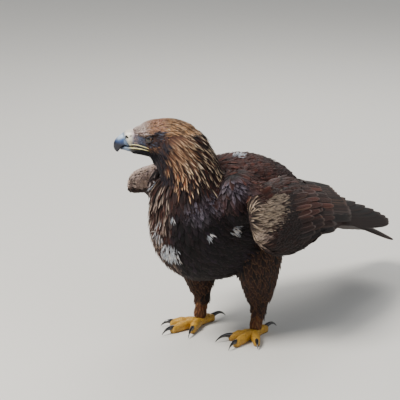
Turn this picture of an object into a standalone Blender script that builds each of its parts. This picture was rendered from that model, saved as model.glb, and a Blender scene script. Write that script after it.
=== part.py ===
"""A life-size standing golden eagle, one named object for each part of the bird.

Units are metres, +Z is up, and the bird faces -Y with its left side at +X.
Its head is turned to its own right, and its wings hang a little open, the left lower than the right.
Places and half sizes in the tables below are written in centimetres and turned into metres by cm().
"""

import math
import random

import bmesh
import bpy
from mathutils import Matrix, Vector
from mathutils.bvhtree import BVHTree

# Driving dimensions, in centimetres unless a name says otherwise
GAP = 0.03  # clear space kept between parts that touch
EYE_RADIUS = 0.82
EYE_SPREAD = 2.2  # from the middle of the head to the middle of each eye
EYE_AHEAD = 0.15  # how far the eyes' middles lie in front of EYE_LINE
LID_OPENING = (0.95, 0.9, 0.6)  # half sizes of the opening between the lids
LID_OUT = 0.75  # how far the opening's middle lies outside the eye's middle
LID_TILT_DEG = 8.0
HEAD_TURN_DEG = -50.0  # about +Z, so the bill points to the bird's right
EYE_LINE = Vector((-6.14, -16.06, 38.9))  # midway between the eyes
WING_LENGTH = 60.0
WING_CURL = 0.030  # how fast the folded wing bends round the body
TAIL_LENGTH = 29.4
FOOT_SPREAD = 6.0  # from the middle of the bird to each foot
FOOT_Y = {"left": -1.5, "right": -3.0}
VANE_THICKNESS = 0.08
SEED = 7


def cm(value):
    """Centimetres to metres, for a number or a point."""
    if isinstance(value, (int, float)):
        return value * 0.01
    return Vector(value) * 0.01


def between(a, b, share):
    return a + (b - a) * share


def along(table, place):
    """Reads a table of (place, value) as a smooth curve."""
    if place <= table[0][0]:
        return table[0][1]
    for i in range(len(table) - 1):
        left, right = table[i], table[i + 1]
        if place <= right[0]:
            before = table[max(i - 1, 0)]
            after = table[min(i + 2, len(table) - 1)]
            span = right[0] - left[0]
            t = (place - left[0]) / span
            slope_left = (right[1] - before[1]) / (right[0] - before[0]) * span
            slope_right = (after[1] - left[1]) / (after[0] - left[0]) * span
            return (
                left[1] * (2 * t**3 - 3 * t**2 + 1)
                + slope_left * (t**3 - 2 * t**2 + t)
                + right[1] * (3 * t**2 - 2 * t**3)
                + slope_right * (t**3 - t**2)
            )
    return table[-1][1]


# Objects, collections and materials


def clear_scene():
    for obj in list(bpy.data.objects):
        bpy.data.objects.remove(obj, do_unlink=True)


def new_collection(name, hidden=False):
    collection = bpy.data.collections.new(name)
    bpy.context.scene.collection.children.link(collection)
    collection.hide_render = hidden
    return collection


def material(name, colour, roughness, metallic=0.0):
    made = bpy.data.materials.new(name)
    made.use_nodes = True
    shader = made.node_tree.nodes["Principled BSDF"]
    shader.inputs["Base Color"].default_value = (*colour, 1.0)
    shader.inputs["Roughness"].default_value = roughness
    shader.inputs["Metallic"].default_value = metallic
    made.diffuse_color = (*colour, 1.0)
    return made


clear_scene()
EAGLE = new_collection("golden_eagle")
HELPERS = new_collection("helpers", hidden=True)
MATERIALS = {
    "plumage": material("dark_plumage", (0.055, 0.034, 0.026), 0.75),
    "hackle": material("golden_hackle", (0.36, 0.19, 0.08), 0.7),
    "wing": material("wing_feather", (0.07, 0.045, 0.033), 0.6),
    "bill": material("bill_horn", (0.10, 0.15, 0.20), 0.35),
    "cere": material("cere_skin", (0.72, 0.62, 0.33), 0.5),
    "gape": material("gape_skin", (0.66, 0.58, 0.30), 0.5),
    "eye": material("eye_brown", (0.10, 0.045, 0.015), 0.08),
    "toe": material("toe_skin", (0.72, 0.52, 0.10), 0.6),
    "talon": material("talon_horn", (0.02, 0.02, 0.022), 0.3),
}


def object_from(bm, name, collection=None):
    bmesh.ops.recalc_face_normals(bm, faces=bm.faces)
    mesh = bpy.data.meshes.new(name)
    bm.to_mesh(mesh)
    bm.free()
    obj = bpy.data.objects.new(name, mesh)
    (collection or HELPERS).objects.link(obj)
    if (collection or HELPERS) is HELPERS:
        obj.hide_render = True
        obj.display_type = "WIRE"
    return obj


def evaluated_mesh(obj):
    bpy.context.view_layer.update()
    graph = bpy.context.evaluated_depsgraph_get()
    return bpy.data.meshes.new_from_object(obj.evaluated_get(graph))


def apply_modifiers(obj):
    mesh = evaluated_mesh(obj)
    obj.modifiers.clear()
    obj.data = mesh
    return obj


def keep_largest(obj):
    """Drops every loose scrap and sealed hollow, so the node is one closed surface."""
    bm = bmesh.new()
    bm.from_mesh(obj.data)
    bmesh.ops.triangulate(bm, faces=bm.faces)
    waiting = set(bm.faces)
    islands = []
    while waiting:
        start = waiting.pop()
        island, edge = [start], [start]
        while edge:
            face = edge.pop()
            for side in face.edges:
                for other in side.link_faces:
                    if other in waiting:
                        waiting.remove(other)
                        island.append(other)
                        edge.append(other)
        islands.append(island)
    islands.sort(key=lambda faces: sum(face.calc_area() for face in faces))
    for island in islands[:-1]:
        bmesh.ops.delete(bm, geom=island, context="FACES")
    bm.to_mesh(obj.data)
    bm.free()
    return obj


def boolean(obj, others, operation, solver="EXACT"):
    """One Boolean of obj with a list of closed objects, applied, and the others removed."""
    if not others:
        return obj
    group = bpy.data.collections.new("operands")
    HELPERS.children.link(group)
    for other in others:
        for home in list(other.users_collection):
            home.objects.unlink(other)
        group.objects.link(other)
    modifier = obj.modifiers.new(operation.lower(), "BOOLEAN")
    modifier.operation = operation
    modifier.operand_type = "COLLECTION"
    modifier.collection = group
    modifier.solver = solver
    apply_modifiers(obj)
    for other in others:
        bpy.data.objects.remove(other, do_unlink=True)
    bpy.data.collections.remove(group)
    return obj


def grown_copy(obj, distance=GAP):
    """A copy of obj, swollen by the gap, to cut a neighbour clear of it."""
    bm = bmesh.new()
    bm.from_mesh(obj.data)
    bm.normal_update()
    moves = [vertex.normal * cm(distance) * 1.25 for vertex in bm.verts]
    for vertex, move in zip(bm.verts, moves):
        vertex.co += move
    return object_from(bm, obj.name + "_grown")


def finish_node(obj, name, slot, smooth=True):
    """Names a finished solid, gives it its material and puts it among the bird's parts."""
    for home in list(obj.users_collection):
        home.objects.unlink(obj)
    EAGLE.objects.link(obj)
    obj.name = name
    obj.data.name = name
    obj.hide_render = False
    obj.display_type = "TEXTURED"
    obj.data.materials.clear()
    obj.data.materials.append(MATERIALS[slot])
    if smooth:
        obj.data.shade_smooth()
        obj.data.set_sharp_from_angle(angle=math.radians(50))
    return obj


def clear_of(obj, neighbours):
    """Cuts obj back by the gap wherever it would touch a neighbour."""
    boolean(obj, [grown_copy(other) for other in neighbours], "DIFFERENCE")
    return keep_largest(obj)


# Shapes that the parts are made from


def loft(name, stations, sides, up=(0, 0, 1), squareness=2.0, floor=None):
    """A closed tube through stations of (centre, half width, half height above, half height below)."""
    up = Vector(up)
    centres = [Vector(station[0]) for station in stations]
    last = len(stations) - 1
    bm = bmesh.new()
    rings = []
    for i, (centre, width, above, below) in enumerate(stations):
        ahead = (centres[min(i + 1, last)] - centres[max(i - 1, 0)]).normalized()
        side = ahead.cross(up).normalized()
        rise = side.cross(ahead)
        ring = []
        for k in range(sides):
            angle = 2 * math.pi * (k + 0.5) / sides
            c, s = math.cos(angle), math.sin(angle)
            reach = (abs(c) ** squareness + abs(s) ** squareness) ** (-1 / squareness)
            height = above if s > 0 else below
            point = Vector(centre) + side * width * c * reach + rise * height * s * reach
            if floor is not None:
                point.z = max(point.z, floor)
            ring.append(bm.verts.new(cm(point)))
        rings.append(ring)
    for first, second in zip(rings, rings[1:]):
        for k in range(sides):
            m = (k + 1) % sides
            bm.faces.new((first[k], first[m], second[m], second[k]))
    bm.faces.new(list(reversed(rings[0])))
    bm.faces.new(rings[-1])
    bmesh.ops.triangulate(bm, faces=bm.faces)
    return object_from(bm, name)


def ball(name, centre, radii, segments=16, turn=None):
    """A closed ellipsoid, with its radii along the axes of turn."""
    bm = bmesh.new()
    bmesh.ops.create_uvsphere(bm, u_segments=segments, v_segments=segments // 2 + 1, radius=1.0)
    place = Matrix.Translation(cm(centre)) @ (turn or Matrix.Identity(3)).to_4x4()
    bmesh.ops.transform(bm, matrix=place @ Matrix.Diagonal((*cm(radii), 1.0)), verts=bm.verts)
    return object_from(bm, name)


def vane(name, centres, normals, half_widths):
    """A closed feather blade along centres, the same triangles on both faces."""
    last = len(centres) - 1
    bm = bmesh.new()
    rows = []
    for i, (centre, normal, half) in enumerate(zip(centres, normals, half_widths)):
        ahead = (centres[min(i + 1, last)] - centres[max(i - 1, 0)]).normalized()
        side = ahead.cross(normal).normalized() * half
        over = side.cross(ahead).normalized() * VANE_THICKNESS / 2
        corners = (centre - side + over, centre + side + over, centre - side - over, centre + side - over)
        rows.append([bm.verts.new(cm(corner)) for corner in corners])
    for a, b in zip(rows, rows[1:]):
        for top in (0, 2):
            bm.faces.new((a[top], a[top + 1], b[top + 1]))
            bm.faces.new((a[top], b[top + 1], b[top]))
        for edge in (0, 1):
            bm.faces.new((a[edge], b[edge], b[edge + 2]))
            bm.faces.new((a[edge], b[edge + 2], a[edge + 2]))
    for row in (rows[0], rows[-1]):
        bm.faces.new((row[0], row[1], row[3]))
        bm.faces.new((row[0], row[3], row[2]))
    return object_from(bm, name)


def fused(name, objects, voxel, smoothing, triangles):
    """Melts closed shapes into one smooth skin with about this many triangles."""
    bm = bmesh.new()
    for obj in objects:
        bm.from_mesh(obj.data)
    whole = object_from(bm, name)
    remesh = whole.modifiers.new("melt", "REMESH")
    remesh.mode = "VOXEL"
    remesh.voxel_size = cm(voxel)
    soften = whole.modifiers.new("soften", "SMOOTH")
    soften.factor = 0.5
    soften.iterations = smoothing
    apply_modifiers(whole)
    whole.data.calc_loop_triangles()
    thin = whole.modifiers.new("thin", "DECIMATE")
    thin.ratio = min(1.0, triangles / len(whole.data.loop_triangles))
    thin.use_collapse_triangulate = True
    apply_modifiers(whole)
    return keep_largest(whole)


def half_space(name, point, normal):
    """A big box that covers the side of a plane that normal points to."""
    size = 120.0
    normal = Vector(normal).normalized()
    bm = bmesh.new()
    bmesh.ops.create_cube(bm, size=cm(size))
    turn = normal.to_track_quat("Z", "Y").to_matrix().to_4x4()
    place = Matrix.Translation(cm(Vector(point) + normal * size / 2)) @ turn
    bmesh.ops.transform(bm, matrix=place, verts=bm.verts)
    return object_from(bm, name)


def triangle_count(obj):
    obj.data.calc_loop_triangles()
    return len(obj.data.loop_triangles)


# The head's own axes: forward along the bill, left, and up

HEAD_TURN = Matrix.Rotation(math.radians(HEAD_TURN_DEG), 3, "Z")
HEAD_FORWARD = HEAD_TURN @ Vector((0, -1, 0))
HEAD_LEFT = HEAD_TURN @ Vector((1, 0, 0))
HEAD_AXES = Matrix((HEAD_FORWARD, HEAD_LEFT, Vector((0, 0, 1)))).transposed()


def in_head(forward, left, up):
    return EYE_LINE + HEAD_FORWARD * forward + HEAD_LEFT * left + Vector((0, 0, up))


# Body: stations from the tail root to the inside of the skull

BODY_STATIONS = [
    ((0.0, 18.4, 20.5), 2.4, 1.6, 1.7),
    ((0.0, 17.0, 20.8), 3.8, 2.7, 2.9),
    ((0.0, 14.0, 21.6), 5.6, 5.1, 5.0),
    ((0.0, 9.0, 22.7), 7.5, 7.8, 8.2),
    ((0.0, 3.0, 23.4), 8.7, 9.6, 11.8),
    ((0.0, -4.0, 24.2), 9.3, 9.5, 13.2),
    ((0.0, -9.4, 26.0), 9.0, 8.2, 13.2),
    ((0.0, -12.2, 29.0), 7.6, 6.8, 8.3),
    ((0.0, -12.9, 32.2), 5.5, 5.7, 5.2),
    ((-1.1, -13.3, 35.0), 4.9, 5.4, 4.8),
    ((-2.4, -14.0, 37.6), 4.8, 5.5, 4.6),
    ((-3.0, -14.2, 39.6), 3.2, 3.8, 3.2),
]
NECK_BASE = (Vector((-0.1, -13.2, 31.6)), Vector((-0.12, -0.32, 0.94)))
SKULL_BASE = (in_head(-4.5, 0, -2.0), HEAD_FORWARD * 0.42 + Vector((0, 0, 0.91)))

# Head: stations from the nape to the bill, as (forward, up of the middle, half width, above, below)
HEAD_STATIONS = [
    (-7.6, 0.0, 1.6, 1.5, 1.6),
    (-6.9, 0.1, 2.6, 2.0, 2.6),
    (-5.4, 0.1, 3.25, 2.65, 3.4),
    (-3.6, 0.1, 3.45, 3.05, 4.0),
    (-1.8, 0.0, 3.25, 3.1, 3.9),
    (0.0, -0.1, 2.8, 2.95, 3.3),
    (1.2, -0.4, 2.3, 2.5, 2.6),
    (2.2, -0.6, 1.85, 2.3, 2.0),
    (3.0, -0.8, 1.45, 1.95, 1.5),
    (3.4, -0.9, 1.2, 1.75, 1.2),
]


def flesh(name, voxel, smoothing, triangles):
    """Torso, neck and head as one skin, before it is parted."""
    pieces = [loft("body_core", BODY_STATIONS, 24, up=(0, 1, 1), squareness=2.15)]
    head = [(in_head(f, 0, u), w, a, b) for f, u, w, a, b in HEAD_STATIONS]
    pieces.append(loft("head_core", head, 20, squareness=2.15))
    for side in (1, -1):
        brow_turn = HEAD_AXES @ Matrix.Rotation(math.radians(-14 * side), 3, "Z")
        brow_turn = brow_turn @ Matrix.Rotation(math.radians(6), 3, "Y")
        pieces.append(ball("brow", in_head(0.5, 2.4 * side, 1.0), (2.1, 0.62, 0.42), turn=brow_turn))
        pieces.append(ball("cheek", in_head(-1.9, 2.4 * side, -1.5), (2.5, 1.05, 1.5), turn=HEAD_AXES))
        shoulder_turn = Matrix.Rotation(math.radians(20 * side), 3, "Z")
        pieces.append(ball("shoulder", (6.8 * side, -7.5, 28.0), (4.4, 6.4, 5.2), turn=shoulder_turn))
    skin = fused(name, pieces, voxel, smoothing, triangles)
    for piece in pieces:
        bpy.data.objects.remove(piece, do_unlink=True)
    return skin


def cut_above(obj, plane, share=0.5):
    point, normal = plane
    lifted = Vector(point) - Vector(normal).normalized() * GAP * share
    return boolean(obj, [half_space("above", lifted, normal)], "DIFFERENCE")


def cut_below(obj, plane, share=0.5):
    point, normal = plane
    lowered = Vector(point) + Vector(normal).normalized() * GAP * share
    return boolean(obj, [half_space("below", lowered, -Vector(normal))], "DIFFERENCE")


# Bill, cere and eyes, in the head's axes as (forward, up, half width, above, below)

CERE_STATIONS = [
    (2.3, 0.0, 1.35, 1.1, 1.6),
    (3.2, -0.05, 1.36, 1.2, 1.75),
    (3.87, -0.24, 1.25, 1.22, 1.7),
    (4.374, -0.525, 1.12, 1.15, 1.6),
]
UPPER_BILL_STATIONS = [
    (4.4, -0.54, 1.12, 1.15, 1.6),
    (4.93, -0.84, 1.0, 1.06, 1.1),
    (5.35, -1.35, 0.8, 1.12, 0.76),
    (5.66, -1.9, 0.58, 0.98, 0.6),
    (5.84, -2.4, 0.36, 0.68, 0.4),
    (5.88, -2.92, 0.1, 0.16, 0.12),
]
LOWER_BILL_STATIONS = [
    (-0.3, -2.3, 1.95, 0.30, 0.45),
    (1.2, -2.22, 1.7, 0.35, 0.62),
    (2.6, -2.2, 1.3, 0.35, 0.72),
    (3.8, -2.2, 0.98, 0.36, 0.6),
    (4.6, -2.2, 0.64, 0.36, 0.44),
    (5.15, -2.38, 0.26, 0.14, 0.18),
]
NOSTRIL = (4.1, 0.02)  # forward and up of the nostril's middle


def head_loft(name, stations, sides, squareness=2.0):
    placed = [(in_head(f, 0, u), w, a, b) for f, u, w, a, b in stations]
    return loft(name, placed, sides, up=HEAD_FORWARD + Vector((0, 0, 1)), squareness=squareness)


def build_bill():
    """Cere, hooked upper bill and lower bill, clear of each other by the gap."""
    upper = head_loft("upper_bill", UPPER_BILL_STATIONS, 14, squareness=2.3)
    cere = head_loft("cere", CERE_STATIONS, 16, squareness=2.3)
    nostrils = []
    for side in (1, -1):
        turn = HEAD_AXES @ Matrix.Rotation(math.radians(-30), 3, "Y")
        nostril = in_head(NOSTRIL[0], 1.2 * side, NOSTRIL[1])
        nostrils.append(ball("nostril", nostril, (0.36, 0.3, 0.2), 10, turn))
    boolean(cere, nostrils, "DIFFERENCE")
    lower = head_loft("lower_bill", LOWER_BILL_STATIONS, 14, squareness=2.4)
    boolean(lower, [grown_copy(cere), grown_copy(upper)], "DIFFERENCE")
    for obj, slot in ((upper, "bill"), (cere, "cere"), (lower, "gape")):
        keep_largest(obj)
        finish_node(obj, obj.name, slot)
    return [upper, cere, lower]


def build_eyes():
    for word, side in (("left", 1), ("right", -1)):
        eye = ball("eye_" + word, in_head(EYE_AHEAD, EYE_SPREAD * side, 0), (EYE_RADIUS,) * 3, 14)
        finish_node(eye, "eye_" + word, "eye")


def build_head(bills):
    head = flesh("head", 0.34, 3, 1560)
    cut_below(head, SKULL_BASE)
    cutters = [grown_copy(obj) for obj in bills]
    for side in (1, -1):
        socket = (EYE_RADIUS + GAP * 1.3,) * 3
        cutters.append(ball("socket", in_head(EYE_AHEAD, EYE_SPREAD * side, 0), socket, 16))
        lid_turn = HEAD_AXES @ Matrix.Rotation(math.radians(LID_TILT_DEG), 3, "Y")
        lid_middle = in_head(EYE_AHEAD, (EYE_SPREAD + LID_OUT) * side, 0)
        cutters.append(ball("lids", lid_middle, LID_OPENING, 14, lid_turn))
    boolean(head, cutters, "DIFFERENCE")
    keep_largest(head)
    return finish_node(head, "head", "plumage")


# Hackles: rows of pointed feathers down the back and sides of the neck

HACKLE_TOP_CLEAR = 0.7  # roots keep this far below the skull's cut
HACKLE_LOW_CLEAR = 1.3  # and this far above the cut at the foot of the neck
HACKLE_ROW_STEP = 0.18  # how far each row stands over the row below it


def follow_surface(tree, start, heading, reaches):
    """Points and normals on the skin at each of the reaches (cm) from start."""
    point, normal, _, _ = tree.find_nearest(cm(start))
    heading = Vector(heading)
    points, normals = [point * 100], [normal.copy()]
    for near, far in zip(reaches, reaches[1:]):
        heading = (heading - normal * heading.dot(normal)).normalized()
        ahead = point + heading * cm(far - near)
        point, fresh, _, _ = tree.find_nearest(ahead)
        normal = (normal + fresh).normalized()
        points.append(point * 100)
        normals.append(normal.copy())
    return points, normals


def height_on(plane, x, y):
    """The height of a plane over a place on the floor."""
    point, normal = plane
    return point.z - ((x - point.x) * normal.x + (y - point.y) * normal.y) / normal.z


def build_hackles(tree):
    """Lances rooted in the neck, each row lying over the row below it."""
    draw = random.Random(SEED)
    hackles = []
    rows = [
        # degrees round from the nape to each side, count, length
        (120, 9, 4.4),
        (136, 10, 4.8),
        (146, 10, 5.2),
        (146, 11, 5.4),
    ]
    nape = Vector((0.42, 0.88, 0.0)).normalized()
    top_axis, low_axis = Vector((-2.2, -13.6, 0)), Vector((0.0, -12.9, 0))
    for row, (spread, count, length) in enumerate(rows):
        share = row / (len(rows) - 1)
        for i in range(count):
            turn = math.radians(spread * ((i + 0.5) / count * 2 - 1) + draw.uniform(-3, 3))
            outward = Matrix.Rotation(turn, 3, "Z") @ nape
            start = between(top_axis, low_axis, share) + outward * 5.2
            highest = height_on(SKULL_BASE, start.x, start.y) - HACKLE_TOP_CLEAR
            lowest = height_on(NECK_BASE, start.x, start.y) + HACKLE_LOW_CLEAR
            start.z = between(highest, lowest, share)
            long = length * draw.uniform(0.92, 1.06)
            heading = Vector((0, 0.35, -1)) + outward * 0.1
            points, normals = follow_surface(tree, start, heading, (0, 0.9, long * 0.6, long))
            over = HACKLE_ROW_STEP * (len(rows) - 1 - row)
            lifts = [-0.3, 0.12 + over * 0.8, 0.22 + over, 0.28 + over]
            centres = [p + n * lift for p, n, lift in zip(points, normals, lifts)]
            hackles.append(vane("hackle", centres, normals, [0.45, 0.72, 0.6, 0.06]))
    return hackles


def build_neck_and_torso():
    torso = flesh("torso", 0.6, 4, 1150)
    cut_above(torso, NECK_BASE)
    keep_largest(torso)
    finish_node(torso, "torso", "plumage")
    neck = flesh("neck", 0.6, 4, 1180)
    tree = BVHTree.FromObject(neck, bpy.context.evaluated_depsgraph_get())
    hackles = build_hackles(tree)
    cut_below(neck, NECK_BASE)
    cut_above(neck, SKULL_BASE)
    keep_largest(neck)
    boolean(neck, hackles, "UNION")
    keep_largest(neck)
    finish_node(neck, "neck", "hackle")
    return torso, neck


# Wings: a curved sheet round the body holds a padded arm and the rows of feathers.
# A place on it is (how far behind the front, how far above its middle line, how far out).

WING_LINES = {
    "left": [
        (0.0, Vector((14.3, -12.6, 24.4))),
        (5.0, Vector((13.8, -7.8, 25.0))),
        (12.0, Vector((12.5, -1.0, 25.3))),
        (22.0, Vector((10.0, 8.6, 24.8))),
        (34.0, Vector((7.2, 20.0, 22.0))),
        (48.0, Vector((4.9, 33.0, 17.2))),
        (60.0, Vector((3.4, 44.0, 13.1))),
    ],
    "right": [
        (0.0, Vector((13.9, -13.6, 28.1))),
        (5.0, Vector((13.3, -8.7, 28.4))),
        (12.0, Vector((11.9, -1.9, 27.6))),
        (22.0, Vector((9.7, 7.8, 25.7))),
        (34.0, Vector((7.0, 19.2, 22.2))),
        (48.0, Vector((4.8, 32.4, 17.4))),
        (60.0, Vector((3.4, 43.6, 13.3))),
    ],
}
WING_LEAN = [(0.0, 16.0), (10.0, 28.0), (22.0, 44.0), (36.0, 50.0), (60.0, 42.0)]
# The arm's reach above and below the sheet's middle line and its half thickness, at places behind the front
ARM_PLACES = (0.0, 1.0, 2.5, 5.0, 9.0, 14.0, 20.0, 26.0, 30.0)
ARM_ABOVE = {
    "left": list(zip(ARM_PLACES, (1.6, 3.2, 4.6, 5.6, 6.2, 6.2, 5.6, 4.6, 3.4))),
    "right": list(zip(ARM_PLACES, (1.5, 2.3, 2.7, 3.0, 4.4, 5.2, 5.2, 4.6, 3.4))),
}
ARM_BELOW = {
    "left": list(zip(ARM_PLACES, (1.6, 3.4, 5.0, 6.5, 7.6, 8.0, 7.4, 6.0, 4.4))),
    "right": list(zip(ARM_PLACES, (1.5, 2.4, 2.8, 3.4, 6.2, 7.6, 7.4, 6.0, 4.4))),
}
ARM_OUTSIDE = list(zip(ARM_PLACES, (0.5, 1.1, 1.4, 1.5, 1.3, 0.8, 0.35, 0.15, 0.1)))
ARM_INSIDE = list(zip(ARM_PLACES, (0.5, 1.2, 1.7, 2.1, 2.1, 1.8, 1.4, 0.9, 0.4)))


class WingSheet:
    """The curved surface of one folded wing. Side is 1 on the left and -1 on the right."""

    def __init__(self, word):
        self.side = 1 if word == "left" else -1
        self.word = word
        self.line = WING_LINES[word]

    def middle(self, behind):
        table = self.line
        parts = [along([(s, p[axis]) for s, p in table], behind) for axis in range(3)]
        return Vector((parts[0] * self.side, parts[1], parts[2]))

    def frame(self, behind):
        back = (self.middle(behind + 0.5) - self.middle(max(behind - 0.5, 0.0))).normalized()
        lean = math.radians(along(WING_LEAN, behind))
        rise = Vector((-math.sin(lean) * self.side, 0, math.cos(lean)))
        rise = (rise - back * rise.dot(back)).normalized()
        out = rise.cross(back) * -self.side
        return rise, out.normalized()

    def place(self, behind, above, lift):
        behind = min(behind, WING_LENGTH)
        rise, out = self.frame(behind)
        curl = WING_CURL * above * above
        slope = 2 * WING_CURL * above
        normal = (out + rise * slope).normalized()
        middle = self.middle(behind) + rise * above - out * curl
        return middle + normal * lift, normal


def arm_pad(sheet, sides=12):
    """The padded arm and hand inside the wing, which its feathers grow from."""
    bm = bmesh.new()
    rings = []
    for behind, _ in ARM_OUTSIDE:
        ring = []
        for k in range(sides):
            angle = 2 * math.pi * (k + 0.5) / sides
            reach = ARM_ABOVE if math.cos(angle) > 0 else ARM_BELOW
            height = along(reach[sheet.word], behind) * math.cos(angle)
            thick = along(ARM_OUTSIDE if math.sin(angle) > 0 else ARM_INSIDE, behind) * math.sin(angle)
            point, _ = sheet.place(behind, height, thick)
            ring.append(bm.verts.new(cm(point)))
        rings.append(ring)
    for first, second in zip(rings, rings[1:]):
        for k in range(sides):
            m = (k + 1) % sides
            bm.faces.new((first[k], first[m], second[m], second[k]))
    bm.faces.new(rings[0])
    bm.faces.new(rings[-1])
    bmesh.ops.triangulate(bm, faces=bm.faces)
    return object_from(bm, "arm_pad")


def wing_vane(sheet, root, tip, lifts, width, stations, tilt, bow=0.0):
    """One feather on the sheet from root to tip, tilted so its lower edge lies over its neighbour."""
    centres, normals, widths = [], [], []
    for i in range(stations):
        t = i / (stations - 1)
        behind = between(root[0], tip[0], t)
        above = between(root[1], tip[1], t) + bow * math.sin(math.pi * t)
        centre, normal = sheet.place(behind, above, between(lifts[0], lifts[1], t**0.6))
        rise, _ = sheet.frame(min(behind, WING_LENGTH))
        centres.append(centre)
        normals.append(normal * math.cos(tilt) + rise * math.sin(tilt))
        shape = min(1.0, 0.45 + 2.2 * t) * max(0.3, 1 - max(0.0, (t - 0.62) / 0.38) ** 2.2)
        widths.append(width * shape)
    return vane("wing_feather", centres, normals, widths)


# Each tier of the wing, as (count, first root, last root, first tip, last tip, root lift, tip lift,
# half width, stations, tilt in degrees). Roots and tips are (behind, above), from the lowest feather up.
WING_TIERS = [
    # secondaries
    (7, (7.0, -2.5), (20.0, 3.6), (38.0, -4.2), (39.0, 3.8), -0.1, 0.1, 1.8, 5, 8.0),
    # greater coverts
    (6, (5.5, -4.4), (17.0, 3.4), (25.0, -5.8), (29.5, 3.8), 0.25, 0.68, 1.6, 4, 8.0),
    # median coverts
    (6, (4.5, -4.8), (12.0, 3.0), (17.0, -6.2), (21.5, 3.4), 0.5, 1.2, 1.6, 4, 8.0),
    # scapulars
    (4, (7.0, 1.8), (11.0, 3.4), (23.0, 0.9), (28.0, 3.6), 0.8, 1.7, 1.5, 4, 12.0),
]


PRIMARIES = 7
PRIMARY_COVERTS = 3


def build_wing(word):
    sheet = WingSheet(word)
    arm = arm_pad(sheet)
    knob_turn = Matrix.Rotation(math.radians(-28 * sheet.side), 3, "Y")
    knob = ball("shoulder_joint", (10.0 * sheet.side, -6.0, 27.6), (3.4, 4.6, 3.6), 14, knob_turn)
    feathers = []

    def lay(root, tip, lifts, width, stations, tilt, bow=0.0):
        low = 1.2 - along(ARM_BELOW[word], root[0])
        high = along(ARM_ABOVE[word], root[0]) - 0.8
        root = (root[0], min(max(root[1], low), high))
        feathers.append(wing_vane(sheet, root, tip, lifts, width, stations, math.radians(tilt), bow))

    for i in range(PRIMARIES):
        t = i / (PRIMARIES - 1)
        reach = 44.0 + 16.0 * math.sin(math.pi / 2 * min(1.0, t * 1.25)) - 4.0 * max(0.0, t - 0.8)
        root = (between(9.0, 19.0, t), between(-2.6, -4.4, t))
        lay(root, (reach, between(2.1, -2.1, t)), (-0.7, -0.65), 1.5, 5, 14.0, -0.9)
    for i in range(PRIMARY_COVERTS):
        t = i / (PRIMARY_COVERTS - 1)
        root = (between(11.0, 17.0, t), between(-4.8, -5.4, t))
        lay(root, (between(27.0, 33.0, t), between(-3.4, -4.8, t)), (-0.2, -0.1), 0.9, 4, 14.0, -1.0)
    for count, root_a, root_b, tip_a, tip_b, root_lift, tip_lift, width, stations, tilt in WING_TIERS:
        for i in range(count):
            t = i / (count - 1)
            root = [between(a, b, t) for a, b in zip(root_a, root_b)]
            tip = [between(a, b, t) for a, b in zip(tip_a, tip_b)]
            tip[0] += 1.5 * math.sin(math.pi * t)
            lay(root, tip, (root_lift, tip_lift), width, stations, tilt)
    boolean(arm, [knob] + feathers, "UNION")
    keep_largest(arm)
    return finish_node(arm, word + "_wing", "wing")


# Tail: twelve feathers fanned from a root, under a row of coverts

TAIL_ROOT = Vector((0.0, 17.8, 20.3))
TAIL_FALL_DEG = 23.5
TAIL_SPREAD_DEG = 9.0
TAIL_PAIRS = 6
TAIL_STEP = 0.26  # how far each pair lies under the pair inside it
TAIL_COVERTS = 5
TAIL_COVERT_LENGTH = 12.0


def build_tail():
    fall = math.radians(TAIL_FALL_DEG)
    back = Vector((0, math.cos(fall), -math.sin(fall)))
    over = Vector((0, math.sin(fall), math.cos(fall)))
    stations = [
        (TAIL_ROOT, 2.5, 1.4, 1.4),
        (TAIL_ROOT + back * 2.5, 2.6, 1.4, 1.2),
        (TAIL_ROOT + back * 5.5, 2.2, 1.0, 0.9),
        (TAIL_ROOT + back * 8.0, 1.4, 0.5, 0.5),
    ]
    root = loft("tail", stations, 14)
    feathers = []
    for i in range(TAIL_PAIRS):
        for side in (1, -1):
            share = (i + 0.5) / TAIL_PAIRS
            turn = math.radians(TAIL_SPREAD_DEG) * share * side
            ahead = back * math.cos(turn) + Vector((math.sin(turn), 0, 0))
            start = TAIL_ROOT + back * 1.2 + Vector((1.6 * share * side, 0, 0))
            # the right feather of a pair lies a little under the left one and is a little narrower
            lift = 0.75 - TAIL_STEP * i - (TAIL_STEP * 0.54 if side < 0 else 0.0)
            breadth = 1.0 if side > 0 else 0.96
            long = TAIL_LENGTH - 1.2 - 1.6 * share**2
            centres, normals, widths = [], [], []
            for t, full in ((0.0, 0.38), (0.35, 0.9), (0.75, 1.0), (1.0, 0.5)):
                sag = over * (lift - 0.7 * t * t - 1.6 * (share * t) ** 2)
                centres.append(start + ahead * long * t + sag)
                normals.append((over + Vector((0.1 * share * side * t, 0, 0))).normalized())
                widths.append(2.0 * full * breadth)
            feathers.append(vane("rectrix", centres, normals, widths))
    for i in range(TAIL_COVERTS):
        share = (i + 0.5) / TAIL_COVERTS * 2 - 1
        start = TAIL_ROOT + back * 0.8 + Vector((1.7 * share, 0, 0))
        top = 1.35 + 0.12 * (i % 2)
        centres = []
        for t, lift in ((0.0, 0.6), (0.3, between(0.6, top, 0.9)), (0.75, top), (1.0, top)):
            spread = Vector((1.3 * share * t, 0, 0))
            centres.append(start + back * TAIL_COVERT_LENGTH * t + spread + over * lift)
        feathers.append(vane("tail_covert", centres, [over] * 4, [0.6, 1.1, 1.0, 0.3]))
    boolean(root, feathers, "UNION")
    keep_largest(root)
    return finish_node(root, "tail", "wing")


# Legs: feathered thigh and shank, a foot of four padded toes, and a claw on each toe

TOE_TABLE = {
    # name: heading in degrees from the foot's front, length, claw length
    "inner": (-34.0, 4.6, 3.9),
    "middle": (0.0, 6.4, 3.3),
    "outer": (36.0, 4.9, 2.7),
    "hind": (176.0, 3.6, 4.4),
}
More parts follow.
